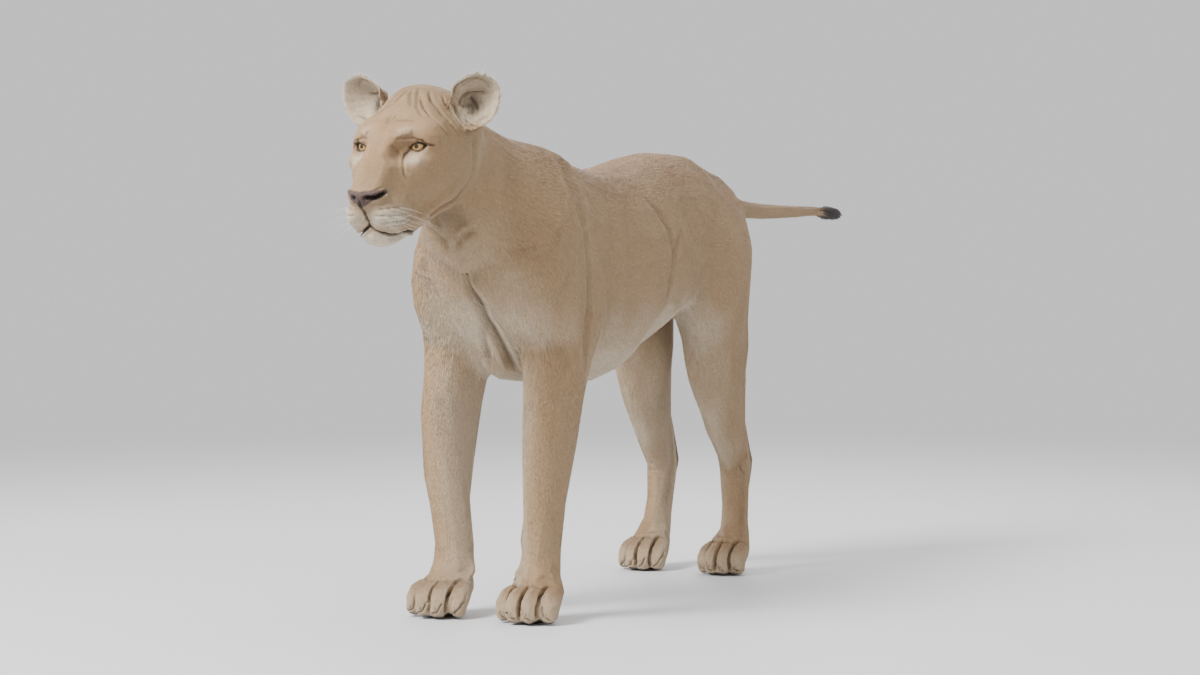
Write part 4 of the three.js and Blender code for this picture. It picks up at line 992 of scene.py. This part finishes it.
def eyeRimOf(p):
    rim = np.zeros(len(p))
    for side in (1, -1):
        f, _, _, w = lidDistance(p, side)
        here = (w > eyePlan["front"]) & (f < 0.02)
        rim = np.maximum(rim, np.where(here, ramp(-f, -0.0046, -0.0022), 0.0))
    return rim


# the bare nose, between two sloping edges
def leatherOf(p):
    ax, y, z = np.abs(p[:, 0]), p[:, 1], p[:, 2]
    low = noseLow[2] + 0.004 + 0.62 * ax
    high = noseHigh[2] - 0.010 + 0.12 * ax
    return (ramp(z, low - 0.002, low + 0.002) * ramp(-z, -high - 0.0015, -high + 0.0015)
            * ramp(-y, -noseHigh[1] + 0.002, -noseHigh[1] + 0.007) * ramp(-ax, -0.040, -0.036))


# dark on the tail tuft, the backs of the ears, the tear marks, the whiskers' roots and the soles
def darkOf(p, normals, zones, earBack):
    y, z, up = p[:, 1], p[:, 2], normals[:, 2]
    tuft = zones["tuft"] * ramp(wave(p, 0.03, 9) * 0.02 + y, tuftLow[1] + 0.005, tuftLow[1] + 0.05)
    ears = (0.85 * earBack * ramp(z, earLow[2] + 0.016, earLow[2] + 0.050)
            * ramp(-z, -earHigh[2] + 0.002, -earHigh[2] + 0.022))
    tear = nearLine(p, "tearGroove")
    tear *= ramp(z, eyeMiddle[2] - 0.032, eyeMiddle[2] - 0.008)
    beads = 0.5 + 0.5 * np.sin(p[:, 1] * 2 * math.pi / whiskerSpacing)
    rows = [0.55 * nearLine(p, row) * beads ** 2 for row in whiskerRows]
    soles = ramp(-up, 0.55, 0.9) * ramp(-z, -0.020, -0.006)
    return np.maximum.reduce([tuft, ears, 0.92 * tear, 0.7 * nearLine(p, "lidTail"),
                              0.8 * nearLine(p, "philtrum"), *rows, 0.85 * soles])


def marksOf(p, normals):
    zones = zonesOf(p)
    ax, z = np.abs(p[:, 0]), p[:, 2]
    body = (1 - zones["head"]) * (1 - zones["tail"])
    earInner = zones["ear"] * ramp(-normals[:, 1], 0.05, 0.55)
    earBack = zones["ear"] * ramp(normals[:, 1], -0.1, 0.5)
    eyeRim, leather = eyeRimOf(p), leatherOf(p)
    lips = nearLine(p, "mouth")
    # painted shade inside the nostrils, made black
    hole = np.clip(1.3 * nearLine(p, "nostril"), 0, 1)
    # painted shade in the ear canal: darkened and partly blackened inside the ear
    canalShade = nearSpot(p, "earCanalShade")
    # painted shade in the groin arch: darker there, with less cream
    groinShade = nearSpot(p, "groinShade") * ramp(-ax, -0.150, -0.100)
    cream = creamOf(p, normals, zones, body, earInner)
    dark = np.maximum.reduce([darkOf(p, normals, zones, earBack), eyeRim, 0.97 * lips, hole,
                              0.6 * canalShade * earInner])
    # the fold mark is painted shade: in the pressed folds and toe gaps, the groin arch, the ear canal and
    # on the throat under the jaw
    fold = np.maximum.reduce([groinShade, foldShade(p) * (1 - 0.35 * zones["face"]),
                              0.95 * canalShade * earInner, 0.85 * nearSpot(p, "underJawShadow")])
    return {
        "cream": cream * (1 - 0.9 * leather) * (1 - 0.6 * groinShade),
        "shade": shadeOf(p, normals, zones, body),
        "dark": dark,
        "leather": leather,
        "bare": np.maximum.reduce([leather, 0.85 * lips, eyeRim * 0.8, hole]),
        "ruddy": np.maximum(earBack * 0.6, 0.4 * zones["face"] * ramp(z, 0.93, 0.98)),
        "hollow": earInner,
        "fold": fold,
    }


def writeMark(mesh, name, values):
    kind, field = ("FLOAT_VECTOR", "vector") if values.ndim == 2 else ("FLOAT", "value")
    layer = mesh.attributes.new(name, kind, "POINT")
    layer.data.foreach_set(field, np.ascontiguousarray(values, np.float32).ravel())


def coatColor(tree, plan, tone):
    place = addNode(tree, "TexCoord").outputs["Object"]
    patches = noise(tree, place, 7.0, 4.0, 0.55)
    specks = noise(tree, place, 170.0, 3.0)
    shade = calc(tree, "MULTIPLY", readMark(tree, "shade"), remap(tree, patches, 0.25, 0.75, 0.65, 1.25))
    color = mixColors(tree, remap(tree, patches, 0.35, 0.70, 0.0, 0.22), plan["tawny"], plan["ruddy"])
    color = mixColors(tree, readMark(tree, "ruddy"), color, plan["ruddy"])
    color = mixColors(tree, shade, color, plan["deep"])
    color = mixColors(tree, readMark(tree, "cream"), color, plan["cream"])
    value = calc(tree, "MULTIPLY", remap(tree, specks, 0.3, 0.7, 0.90, 1.10), tone)
    # painted shade: the coat is darker where the fold mark lies
    folds = remap(tree, readMark(tree, "fold"), 0.0, 1.0, 1.0, 1.0 - plan["paintedFoldShade"])
    value = calc(tree, "MULTIPLY", value, folds)
    color = multiply(tree, color, value)
    color = mixColors(tree, readMark(tree, "dark"), color, plan["black"])
    return color, place


def skinMaterial(plan):
    material, tree = newNodes("lionSkin")
    color, place = coatColor(tree, plan, 0.90)
    color = mixColors(tree, readMark(tree, "leather"), color, plan["leather"])
    # black where dark marks lie on bare skin: the real black lips and eye rims, and painted shade inside
    # the nostrils
    hole = calc(tree, "MULTIPLY", readMark(tree, "dark"), readMark(tree, "bare"))
    color = mixColors(tree, hole, color, plan["black"])
    lie = readMark(tree, "lie", "Vector")
    along = addNode(tree, "VectorMath", {0: place, 1: lie}, operation="DOT_PRODUCT").outputs["Value"]
    stretch = calc(tree, "MULTIPLY", along, plan["hairStretch"])
    slide = addNode(tree, "VectorMath", {0: lie, "Scale": stretch}, operation="SCALE").outputs[0]
    across = addNode(tree, "VectorMath", {0: place, 1: slide}, operation="SUBTRACT").outputs[0]
    hairs = noise(tree, across, plan["hairScale"], 3.0)
    streaks = multiply(tree, color, remap(tree, hairs, 0.25, 0.75, 0.82, 1.14))
    cells = addNode(tree, "TexVoronoi", {"Vector": place, "Scale": plan["pebbleScale"]})
    pebbles = cells.outputs["Distance"]
    bare = readMark(tree, "bare")
    height = addNode(tree, "Mix", {0: bare, 2: hairs, 3: pebbles}, data_type="FLOAT").outputs[0]
    color = mixColors(tree, bare, streaks, color)
    inputs = {"Height": height, "Strength": plan["bumpStrength"], "Distance": plan["bumpDepth"]}
    bumps = addNode(tree, "Bump", inputs)
    inputs = {"Base Color": color, "Roughness": remap(tree, bare, 0.0, 1.0, 0.78, 0.38),
              "Normal": bumps.outputs[0], "Specular IOR Level": 0.32,
              "Sheen Weight": 0.06, "Sheen Roughness": 0.5}
    return painted(material, tree, inputs)


def coatMaterial(plan):
    material, tree = newNodes("lionCoat")
    # painted self-shade: each tuft darker at its root and lighter towards its tip
    rootShade = remap(tree, readMark(tree, "along"), 0.0, 1.0, 0.84, 1.08)
    tone = calc(tree, "MULTIPLY", rootShade, remap(tree, readMark(tree, "tone"), 0.0, 1.0, 0.91, 1.10))
    color, place = coatColor(tree, plan, tone)
    inputs = {"Base Color": color, "Roughness": 0.66, "Specular IOR Level": 0.30,
              "Sheen Weight": 0.06, "Sheen Roughness": 0.45}
    return painted(material, tree, inputs)


def towards(way, share, target):
    share = share[:, None]
    return way * (1 - share) + target * share


# the way the hair lies, along the surface
def lieOf(p, normals):
    zones = zonesOf(p)
    ax, y, z = np.abs(p[:, 0]), p[:, 1], p[:, 2]
    side, flank = np.sign(p[:, 0]), np.abs(normals[:, 0])
    one = np.ones(len(p))
    back = np.array([0.0, 1.0, 0.0])
    way = np.stack([0 * one, one, -0.25 - 0.55 * flank], 1)
    low = ramp(-z, -0.72, -0.48) * ramp(np.abs(y + 0.1), 0.15, 0.30)
    way = towards(way, low, np.array([0.0, 0.35, -1.0]))
    way = towards(way, ramp(-normals[:, 2], 0.4, 0.9) * ramp(z, 0.44, 0.50), back)
    breast = ramp(-normals[:, 1], 0.4, 0.9) * (1 - zones["head"]) * ramp(z, 0.50, 0.60)
    way = towards(way, breast, np.stack([0.25 * side, 0 * one, -one], 1))
    way = towards(way, zones["leg"], np.array([0.0, 0.22, -1.0]))
    way = towards(way, ramp(-z, -0.10, -0.06), np.array([0.0, -1.0, -0.45]))
    way = towards(way, zones["tail"], back)
    fromNose = unit(p - np.array([0.0, noseLow[1] - 0.05, noseLow[2] - 0.01]))
    fromNose[:, 2] -= 0.30 * ramp(ax, 0.05, 0.11) + 0.25 * ramp(-z, -0.90, -0.82)
    way = towards(way, zones["head"], unit(fromNose))
    earRoot = np.array([earLow[0] + 0.012, (earLow[1] + earHigh[1]) / 2, earLow[2] - 0.005])
    fromEar = unit(p - earRoot * np.stack([side, one, one], 1))
    way = towards(way, zones["ear"], fromEar)
    return unit(way - normals * dot(way, normals)[:, None])


p, normals = cornersOf(skin), normalsOf(skin)
for name, values in marksOf(p, normals).items():
    writeMark(skin.data, name, values)
writeMark(skin.data, "lie", lieOf(p, normals))
skin.data.materials.append(skinMaterial(markPlan))
report("markings")


# eyes
eyeLook = {
    "out": 12.0,
    "down": 3.0,
    "radiusShare": 0.985,
    "bulge": 0.0012,
    "pupil": 0.235,
    "iris": 0.78,
    "amber": (0.42, 0.20, 0.040),
    "gold": (0.58, 0.35, 0.09),
    "edge": (0.05, 0.022, 0.010),
    "white": (0.12, 0.065, 0.04),
    "black": (0.003, 0.003, 0.003),
    "lidShade": 0.30,
}


def eyeMaterial(plan):
    material, tree = newNodes("lionEye")
    ring = readMark(tree, "ring")
    spoke = readMark(tree, "spoke", "Vector")
    fibers = noise(tree, spoke, 9.0, 4.0, 0.7)
    color = mixColors(tree, remap(tree, fibers, 0.35, 0.65, 0.0, 1.0), plan["amber"], plan["gold"])
    inner = remap(tree, ring, plan["pupil"], plan["pupil"] + 0.12, 1.0, 0.0)
    color = mixColors(tree, calc(tree, "MULTIPLY", inner, 0.55), color, plan["amber"])
    iris = plan["iris"]
    color = mixColors(tree, remap(tree, ring, iris - 0.16, iris, 0.0, 1.0), color, plan["edge"])
    color = mixColors(tree, remap(tree, ring, iris, iris + 0.10, 0.0, 1.0), color, plan["white"])
    shaded = remap(tree, readMark(tree, "height"), 0.0, 0.42, 1.0, plan["lidShade"])
    color = multiply(tree, color, shaded)
    hole = remap(tree, ring, plan["pupil"] - 0.015, plan["pupil"] + 0.015, 1.0, 0.0)
    color = mixColors(tree, hole, color, plan["black"])
    inputs = {"Base Color": color, "Roughness": 0.12,
              "Coat Weight": 1.0, "Coat Roughness": 0.02, "Coat IOR": 1.45}
    return painted(material, tree, inputs)


# rings from the middle of the pupil, closer together there, and spokes round it
def eyeball(plan, side, rings, spokes):
    gaze = gazeOf(plan, side)
    across = unit(np.cross(gaze, [0, 0, 1.0]))
    upward = np.cross(across, gaze)
    theta = np.linspace(0, math.pi, rings + 1)[1:-1]
    theta = theta * (0.35 + 0.65 * theta / math.pi)
    phi = np.arange(spokes) * 2 * math.pi / spokes
    tt, pp = np.meshgrid(theta, phi, indexing="ij")
    ring = np.concatenate([[0.0], tt.ravel(), [math.pi]])
    angle = np.concatenate([[0.0], pp.ravel(), [0.0]])
    radius = eyeRadius * plan["radiusShare"] + plan["bulge"] * np.exp(-(ring / 0.55) ** 4)
    flat = np.stack([np.sin(ring) * np.cos(angle), np.sin(ring) * np.sin(angle), np.cos(ring)], 1)
    way = flat[:, :1] * across + flat[:, 1:2] * upward + flat[:, 2:] * gaze
    corners = eyeCentre(side) + way * radius[:, None]
    faces = []
    last = len(corners) - 1
    for j in range(spokes):
        k = (j + 1) % spokes
        faces.append((0, 1 + j, 1 + k))
        for i in range(len(theta) - 1):
            a, b = 1 + i * spokes + j, 1 + i * spokes + k
            faces += [(a, a + spokes, b + spokes), (a, b + spokes, b)]
        faces.append((last, last - spokes + k, last - spokes + j))
    return corners, np.array(faces), ring, angle, flat[:, 1]


def buildEyes(plan, rings=40, spokes=56):
    material = eyeMaterial(plan)
    for side, name in ((1, "left"), (-1, "right")):
        corners, faces, ring, angle, height = eyeball(plan, side, rings, spokes)
        eye = meshPiece(f"eyeball_{name}", corners, faces)
        writeMark(eye.data, "ring", ring)
        writeMark(eye.data, "height", height)
        writeMark(eye.data, "spoke", np.stack([np.cos(angle) * 2.0, np.sin(angle) * 2.0, ring * 0.35], 1))
        eye.data.materials.append(material)
        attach(eye, "root")
        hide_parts(f"eye_{name}")


buildEyes(eyeLook)
report("eyes")


# claws and whiskers
hornPlan = {"base": (0.16, 0.12, 0.085), "pale": (0.46, 0.38, 0.28)}


def hornMaterial(plan):
    material, tree = newNodes("clawHorn")
    place = addNode(tree, "TexCoord").outputs["Object"]
    streaks = noise(tree, place, 260.0, 4.0)
    color = mixColors(tree, remap(tree, streaks, 0.3, 0.7, 0.0, 1.0), plan["base"], plan["pale"])
    ridges = addNode(tree, "Bump", {"Height": streaks, "Strength": 0.3, "Distance": 0.0004})
    inputs = {"Base Color": color, "Roughness": 0.34, "Normal": ridges.outputs[0]}
    return painted(material, tree, inputs)


horn = hornMaterial(hornPlan)
for name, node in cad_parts.items():
    if "claw" in name:
        node.data.materials.clear()
        node.data.materials.append(horn)

whiskerPlan = {
    "color": (0.80, 0.76, 0.68),
    "rootColor": (0.55, 0.48, 0.38),
    "thick": 0.00022,
    "taper": 0.92,
    "length": (0.050, 0.090),
    "sag": 0.22,
    "bury": 0.001,
    "rows": whiskerRows,
    "perRow": 3,
    "first": 0.18, "span": 0.78,  # along a row
}


def whiskerMaterial(plan):
    material, tree = newNodes("whiskerHair")
    place = addNode(tree, "TexCoord").outputs["Object"]
    specks = noise(tree, place, 90.0)
    color = mixColors(tree, remap(tree, specks, 0.3, 0.7, 0.0, 0.4), plan["color"], plan["rootColor"])
    return painted(material, tree, {"Base Color": color, "Roughness": 0.45})


# a thin closed tube round a line
def addHair(corners, faces, line, radii, way, sides):
    across = unit(np.cross(way, [0, 0, 1.0]))
    upward = np.cross(across, way)
    angle = np.arange(sides) * 2 * math.pi / sides
    first = len(corners)
    for q, r in zip(line, radii):
        corners += [q + r * (math.cos(a) * across + math.sin(a) * upward) for a in angle]
    for i in range(len(line) - 1):
        for j in range(sides):
            k = (j + 1) % sides
            a, b = first + i * sides + j, first + i * sides + k
            faces += [(a, b, b + sides), (a, b + sides, a + sides)]
    end = first + (len(line) - 1) * sides
    for j in range(1, sides - 1):
        faces.append((first, first + j + 1, first + j))
        faces.append((end, end + j, end + j + 1))


def buildWhiskers(plan, steps=10, sides=5):
    turns = np.random.default_rng(7)
    surface, normals = cornersOf(skin), normalsOf(skin)
    near = surface[:, 1] < eyeMiddle[1] + 0.02
    surface, normals = surface[near], normals[near]
    roots = []
    for row in plan["rows"]:
        line = smoothLine([spot("head", share) for share in creases[row][3]], 6)
        for i in range(plan["perRow"]):
            along = plan["first"] + plan["span"] * i / (plan["perRow"] - 1)
            place = line[int(along * (len(line) - 1))]
            roots.append((place, np.array([0.95, 0.30 + 0.12 * i, -0.10 - 0.22 * turns.random()])))
    corners, faces = [], []
    for side in (1, -1):
        flip = np.array([side, 1, 1])
        for place, way in roots:
            nearest = ((surface - place * flip) ** 2).sum(1).argmin()
            normal = normals[nearest]
            start = surface[nearest] - normal * plan["bury"]
            way = unit(way * flip + 0.5 * normal)
            length = turns.uniform(*plan["length"])
            t = np.linspace(0, 1, steps)
            sag = np.outer(t ** 2 * length * plan["sag"], [0, 0.25, -1.0])
            line = start + np.outer(t * length, way) + sag
            addHair(corners, faces, line, plan["thick"] * (1 - plan["taper"] * t), way, sides)
    whiskers = meshPiece("whiskers", np.array(corners), np.array(faces))
    whiskers.data.materials.append(whiskerMaterial(plan))
    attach(whiskers, "root")


buildWhiskers(whiskerPlan)
report("claws and whiskers")


# coat
coatPlan = {
    "spacing": {"leg": 0.0032, "tail": 0.0036, "tuft": 0.0020, "head": 0.0027, "face": 0.0022,
                "muzzle": 0.0020, "ear": 0.0021, "paw": 0.0025},
    "trunkSpacing": 0.0039,
    "quickSpacing": 1.6,
    "length": {"leg": 0.0115, "tail": 0.0130, "tuft": 0.0440, "head": 0.0090, "face": 0.0054,
               "muzzle": 0.0034, "ear": 0.0070, "paw": 0.0046},
    "trunkLength": 0.0165,
    "width": {"leg": 0.0012, "tail": 0.0016, "tuft": 0.0026, "head": 0.0012, "face": 0.0010,
              "muzzle": 0.0009, "ear": 0.0010, "paw": 0.0010},
    "trunkWidth": 0.0017,
    "rise": {"leg": 0.0007, "tail": 0.0015, "tuft": 0.0075, "head": 0.0009, "face": 0.0006,
             "muzzle": 0.0005, "ear": 0.0008, "paw": 0.0005},
    "trunkRise": 0.0010,
    "bury": 0.0008,  # how deep a tuft's root is in the skin
    "middle": 0.36, "middleRise": 0.42,  # where a tuft is broadest, as shares of its length and rise
    "ground": 0.0006,
    "evenness": 0.62,  # how far the tufts' shading follows the skin
    "most": 33000,  # tufts in a piece
    "patch": 0.003,  # of a tuft on the map
}


# tries are thrown all over the skin, and one is kept in each cell of about the spacing
def scatter(plan):
    dice = np.random.default_rng(31)
    corners, normals = cornersOf(skin), normalsOf(skin)
    faces = np.empty(len(skin.data.polygons) * 3, np.int32)
    skin.data.polygons.foreach_get("vertices", faces)
    faces = faces.reshape(-1, 3)
    a, b, c = (corners[faces[:, i]] for i in range(3))
    area = np.linalg.norm(np.cross(b - a, c - a), axis=1) / 2
    centre = (a + b + c) / 3
    spacing = byZone(centre, plan["trunkSpacing"], plan["spacing"])
    spacing *= 1.0
    wanted = area / spacing ** 2 * 3.2
    count = np.floor(wanted + dice.random(len(wanted))).astype(int)
    owner = np.repeat(np.arange(len(faces)), count)
    u, v = dice.random(len(owner)), dice.random(len(owner))
    over = u + v > 1
    u[over], v[over] = 1 - u[over], 1 - v[over]
    w = 1 - u - v
    root = a[owner] * w[:, None] + b[owner] * u[:, None] + c[owner] * v[:, None]
    normal = sum(normals[faces[owner, i]] * s[:, None] for i, s in enumerate((w, u, v)))
    own = spacing[owner] * 1.16
    shuffle = dice.permutation(len(root))
    root, normal, own = root[shuffle], unit(normal[shuffle]), own[shuffle]
    level = np.rint(np.log(own / 0.001) / 0.16)  # cells come in sizes 16 % apart
    cell = 0.001 * np.exp(level * 0.16)
    key = np.floor(root / cell[:, None]).astype(np.int64) + 4096
    code = ((key[:, 0] * 8192 + key[:, 1]) * 8192 + key[:, 2]) * 64 + level.astype(np.int64) + 8
    _, first = np.unique(code, return_index=True)
    first.sort()
    return root[first], normal[first]


# places brought back onto the skin and lifted off it by their own height
def ontoSkin(tree, places, heights):
    lifted = np.empty_like(places)
    for i, (place, height) in enumerate(zip(places.tolist(), heights.tolist())):
        ground, way = tree.find_nearest(place)[:2]
        lifted[i] = ground + way * height
    return lifted


# the five corners of each tuft: root, left, right, top and tip
def tuftCorners(plan, dice, root, normal, zones, marks):
    lie = lieOf(root, normal)
    swirl = 0.10 * wave(root, 0.12, 12) + 0.06 * wave(root, 0.022, 13)
    swirl = swirl + dice.normal(0, 0.07, len(root))
    side = np.cross(normal, lie)
    lie = lie * np.cos(swirl)[:, None] + side * np.sin(swirl)[:, None]
    side = np.cross(normal, lie)
    length = byZone(root, plan["trunkLength"], plan["length"]) * dice.uniform(0.72, 1.25, len(root))
    width = byZone(root, plan["trunkWidth"], plan["width"]) * dice.uniform(0.75, 1.2, len(root))
    rise = byZone(root, plan["trunkRise"], plan["rise"]) * dice.uniform(0.45, 1.25, len(root))
    shaggy = marks["cream"] * (1 - zones["head"]) * (1 - zones["leg"])
    length *= 1 + 0.4 * shaggy + 0.8 * marks["hollow"]
    rise *= 1 + 0.6 * shaggy + 0.9 * marks["hollow"]
    length *= 0.4 + 0.6 * ramp(root[:, 2], 0.004, 0.030)
    hang = zones["tuft"][:, None] * np.array([0.0, 1.0, -0.22])
    lie = unit(lie * (1 - 0.75 * zones["tuft"])[:, None] + 0.75 * hang)
    midRise = rise * plan["middleRise"]
    mid = root + lie * (length * plan["middle"])[:, None] + normal * midRise[:, None]
    tip = root + lie * length[:, None] + normal * rise[:, None]
    faces = [tuple(face.vertices) for face in skin.data.polygons]
    tree = BVHTree.FromPolygons(cornersOf(skin).tolist(), faces)
    held = (np.maximum(zones["ear"], zones["tuft"]) < 0.5).nonzero()[0]
    mid[held] = ontoSkin(tree, mid[held], midRise[held])
    tip[held] = ontoSkin(tree, tip[held], rise[held])
    report("tufts laid on the skin")
    left = mid - side * (width * 0.5)[:, None] - normal * (rise * 0.12)[:, None]
    right = mid + side * (width * 0.5)[:, None] - normal * (rise * 0.12)[:, None]
    top = mid + normal * (width * 0.12 + rise * 0.06)[:, None]
    tufts = np.stack([root - normal * plan["bury"], left, right, top, tip], 1)
    tufts[..., 2] = np.maximum(tufts[..., 2], plan["ground"])
    return tufts


# the pieces of the coat, and which tufts are in each
def regionsOf(root, zones):
    y, z, isLeft = root[:, 1], root[:, 2], root[:, 0] > 0
    neckEnd, foreEnd = chestLow[1] + 0.10, -0.3
    isHead = zones["head"] > 0.5
    isPaw = zones["paw"] > 0.5
    isTail = ~isHead & (y > rumpHigh[1] - 0.005)
    isLeg = ~isHead & ~isTail & ~isPaw & (z < elbowHeight)
    rest = ~(isHead | isPaw | isTail | isLeg)
    paired = {
        "head": isHead,
        "shoulder": rest & (y >= neckEnd) & (y < bellyLow[1]),
        "belly": rest & (y >= bellyLow[1]) & (y < rumpLow[1]),
        "rump": rest & (y >= rumpLow[1]),
    }
    regions = {}
    for name, chosen in paired.items():
        regions[name + "_left"], regions[name + "_right"] = chosen & isLeft, chosen & ~isLeft
        if name == "head":
            regions["neck"] = rest & (y < neckEnd)
    regions["tail"] = isTail
    for name, chosen in (("legs", isLeg), ("paws", isPaw)):
        regions["fore" + name], regions["hind" + name] = chosen & (y < foreEnd), chosen & (y >= foreEnd)
    return regions


# places on an unwrap of the skin: along the part, and round it
def unwrap(place, upright):
    if upright:
        main = place[:, 2]
        outer = np.abs(place[:, 0]) - np.median(np.abs(place[:, 0]))
        turn = np.arctan2(outer, place[:, 1] - np.median(place[:, 1])) / (4 * math.pi) + 0.25
        turn += 0.5 * (place[:, 0] > 0)
    else:
        main = place[:, 1]
        turn = np.arctan2(place[:, 0], place[:, 2] - np.median(place[:, 2])) / (2 * math.pi) + 0.5
    share = (main - main.min()) / (main.max() - main.min())
    return np.stack([share, turn], 1) * 0.985 + 0.005


def buildCoat(plan):
    dice = np.random.default_rng(47)
    root, normal = scatter(plan)
    marks, zones = marksOf(root, normal), zonesOf(root)
    free = (marks["bare"] < 0.35) & (root[:, 2] > 0.004)
    free &= ~((root[:, 2] < 0.012) & (normal[:, 2] < -0.4))
    root, normal = root[free], normal[free]
    marks = {name: values[free] for name, values in marks.items()}
    zones = {name: values[free] for name, values in zones.items()}
    tufts = tuftCorners(plan, dice, root, normal, zones, marks)
    tone = dice.random(len(root))
    material = coatMaterial(markPlan)
    shape = np.array([[0, 1, 3], [0, 3, 2], [0, 2, 1], [4, 3, 1], [4, 2, 3], [4, 1, 2]])
    flat = np.array([[0.5, 0.0], [0.0, 0.4], [1.0, 0.4], [0.5, 0.5], [0.5, 1.0]]) * plan["patch"]
    total = 0
    for name, chosen in regionsOf(root, zones).items():
        members = np.nonzero(chosen)[0]
        if len(members) > plan["most"]:
            members = members[np.linspace(0, len(members) - 1, plan["most"]).astype(int)]
        count = len(members)
        if not count:
            continue
        corners = tufts[members].reshape(-1, 3)
        faces = (shape[None] + 5 * np.arange(count)[:, None, None]).reshape(-1, 3)
        piece = meshPiece("coat_" + name, corners, faces)
        even = np.repeat(normal[members], 5, axis=0) * plan["evenness"]
        shading = unit(even + normalsOf(piece) * (1 - plan["evenness"]))
        piece.data.normals_split_custom_set_from_vertices(shading)
        for mark in ("cream", "shade", "dark", "ruddy", "fold"):
            writeMark(piece.data, mark, np.repeat(marks[mark][members], 5))
        writeMark(piece.data, "tone", np.repeat(tone[members], 5))
        writeMark(piece.data, "along", np.tile([0.0, 0.45, 0.45, 0.5, 1.0], count))
        base = unwrap(root[members], name.startswith(("fore", "hind")))
        places = (base[:, None, :] + flat[None]).reshape(-1, 2)
        layer = piece.data.uv_layers.new(name="OFBake")
        layer.data.foreach_set("uv", places[faces.reshape(-1)].astype(np.float32).ravel())
        piece.data.materials.append(material)
        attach(piece, "root")
        total += count
        print(f"coat_{name}: {count} tufts")
    report(f"coat of {total} tufts, {total * len(shape)} triangles")


buildCoat(coatPlan)

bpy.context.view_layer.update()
report("done")
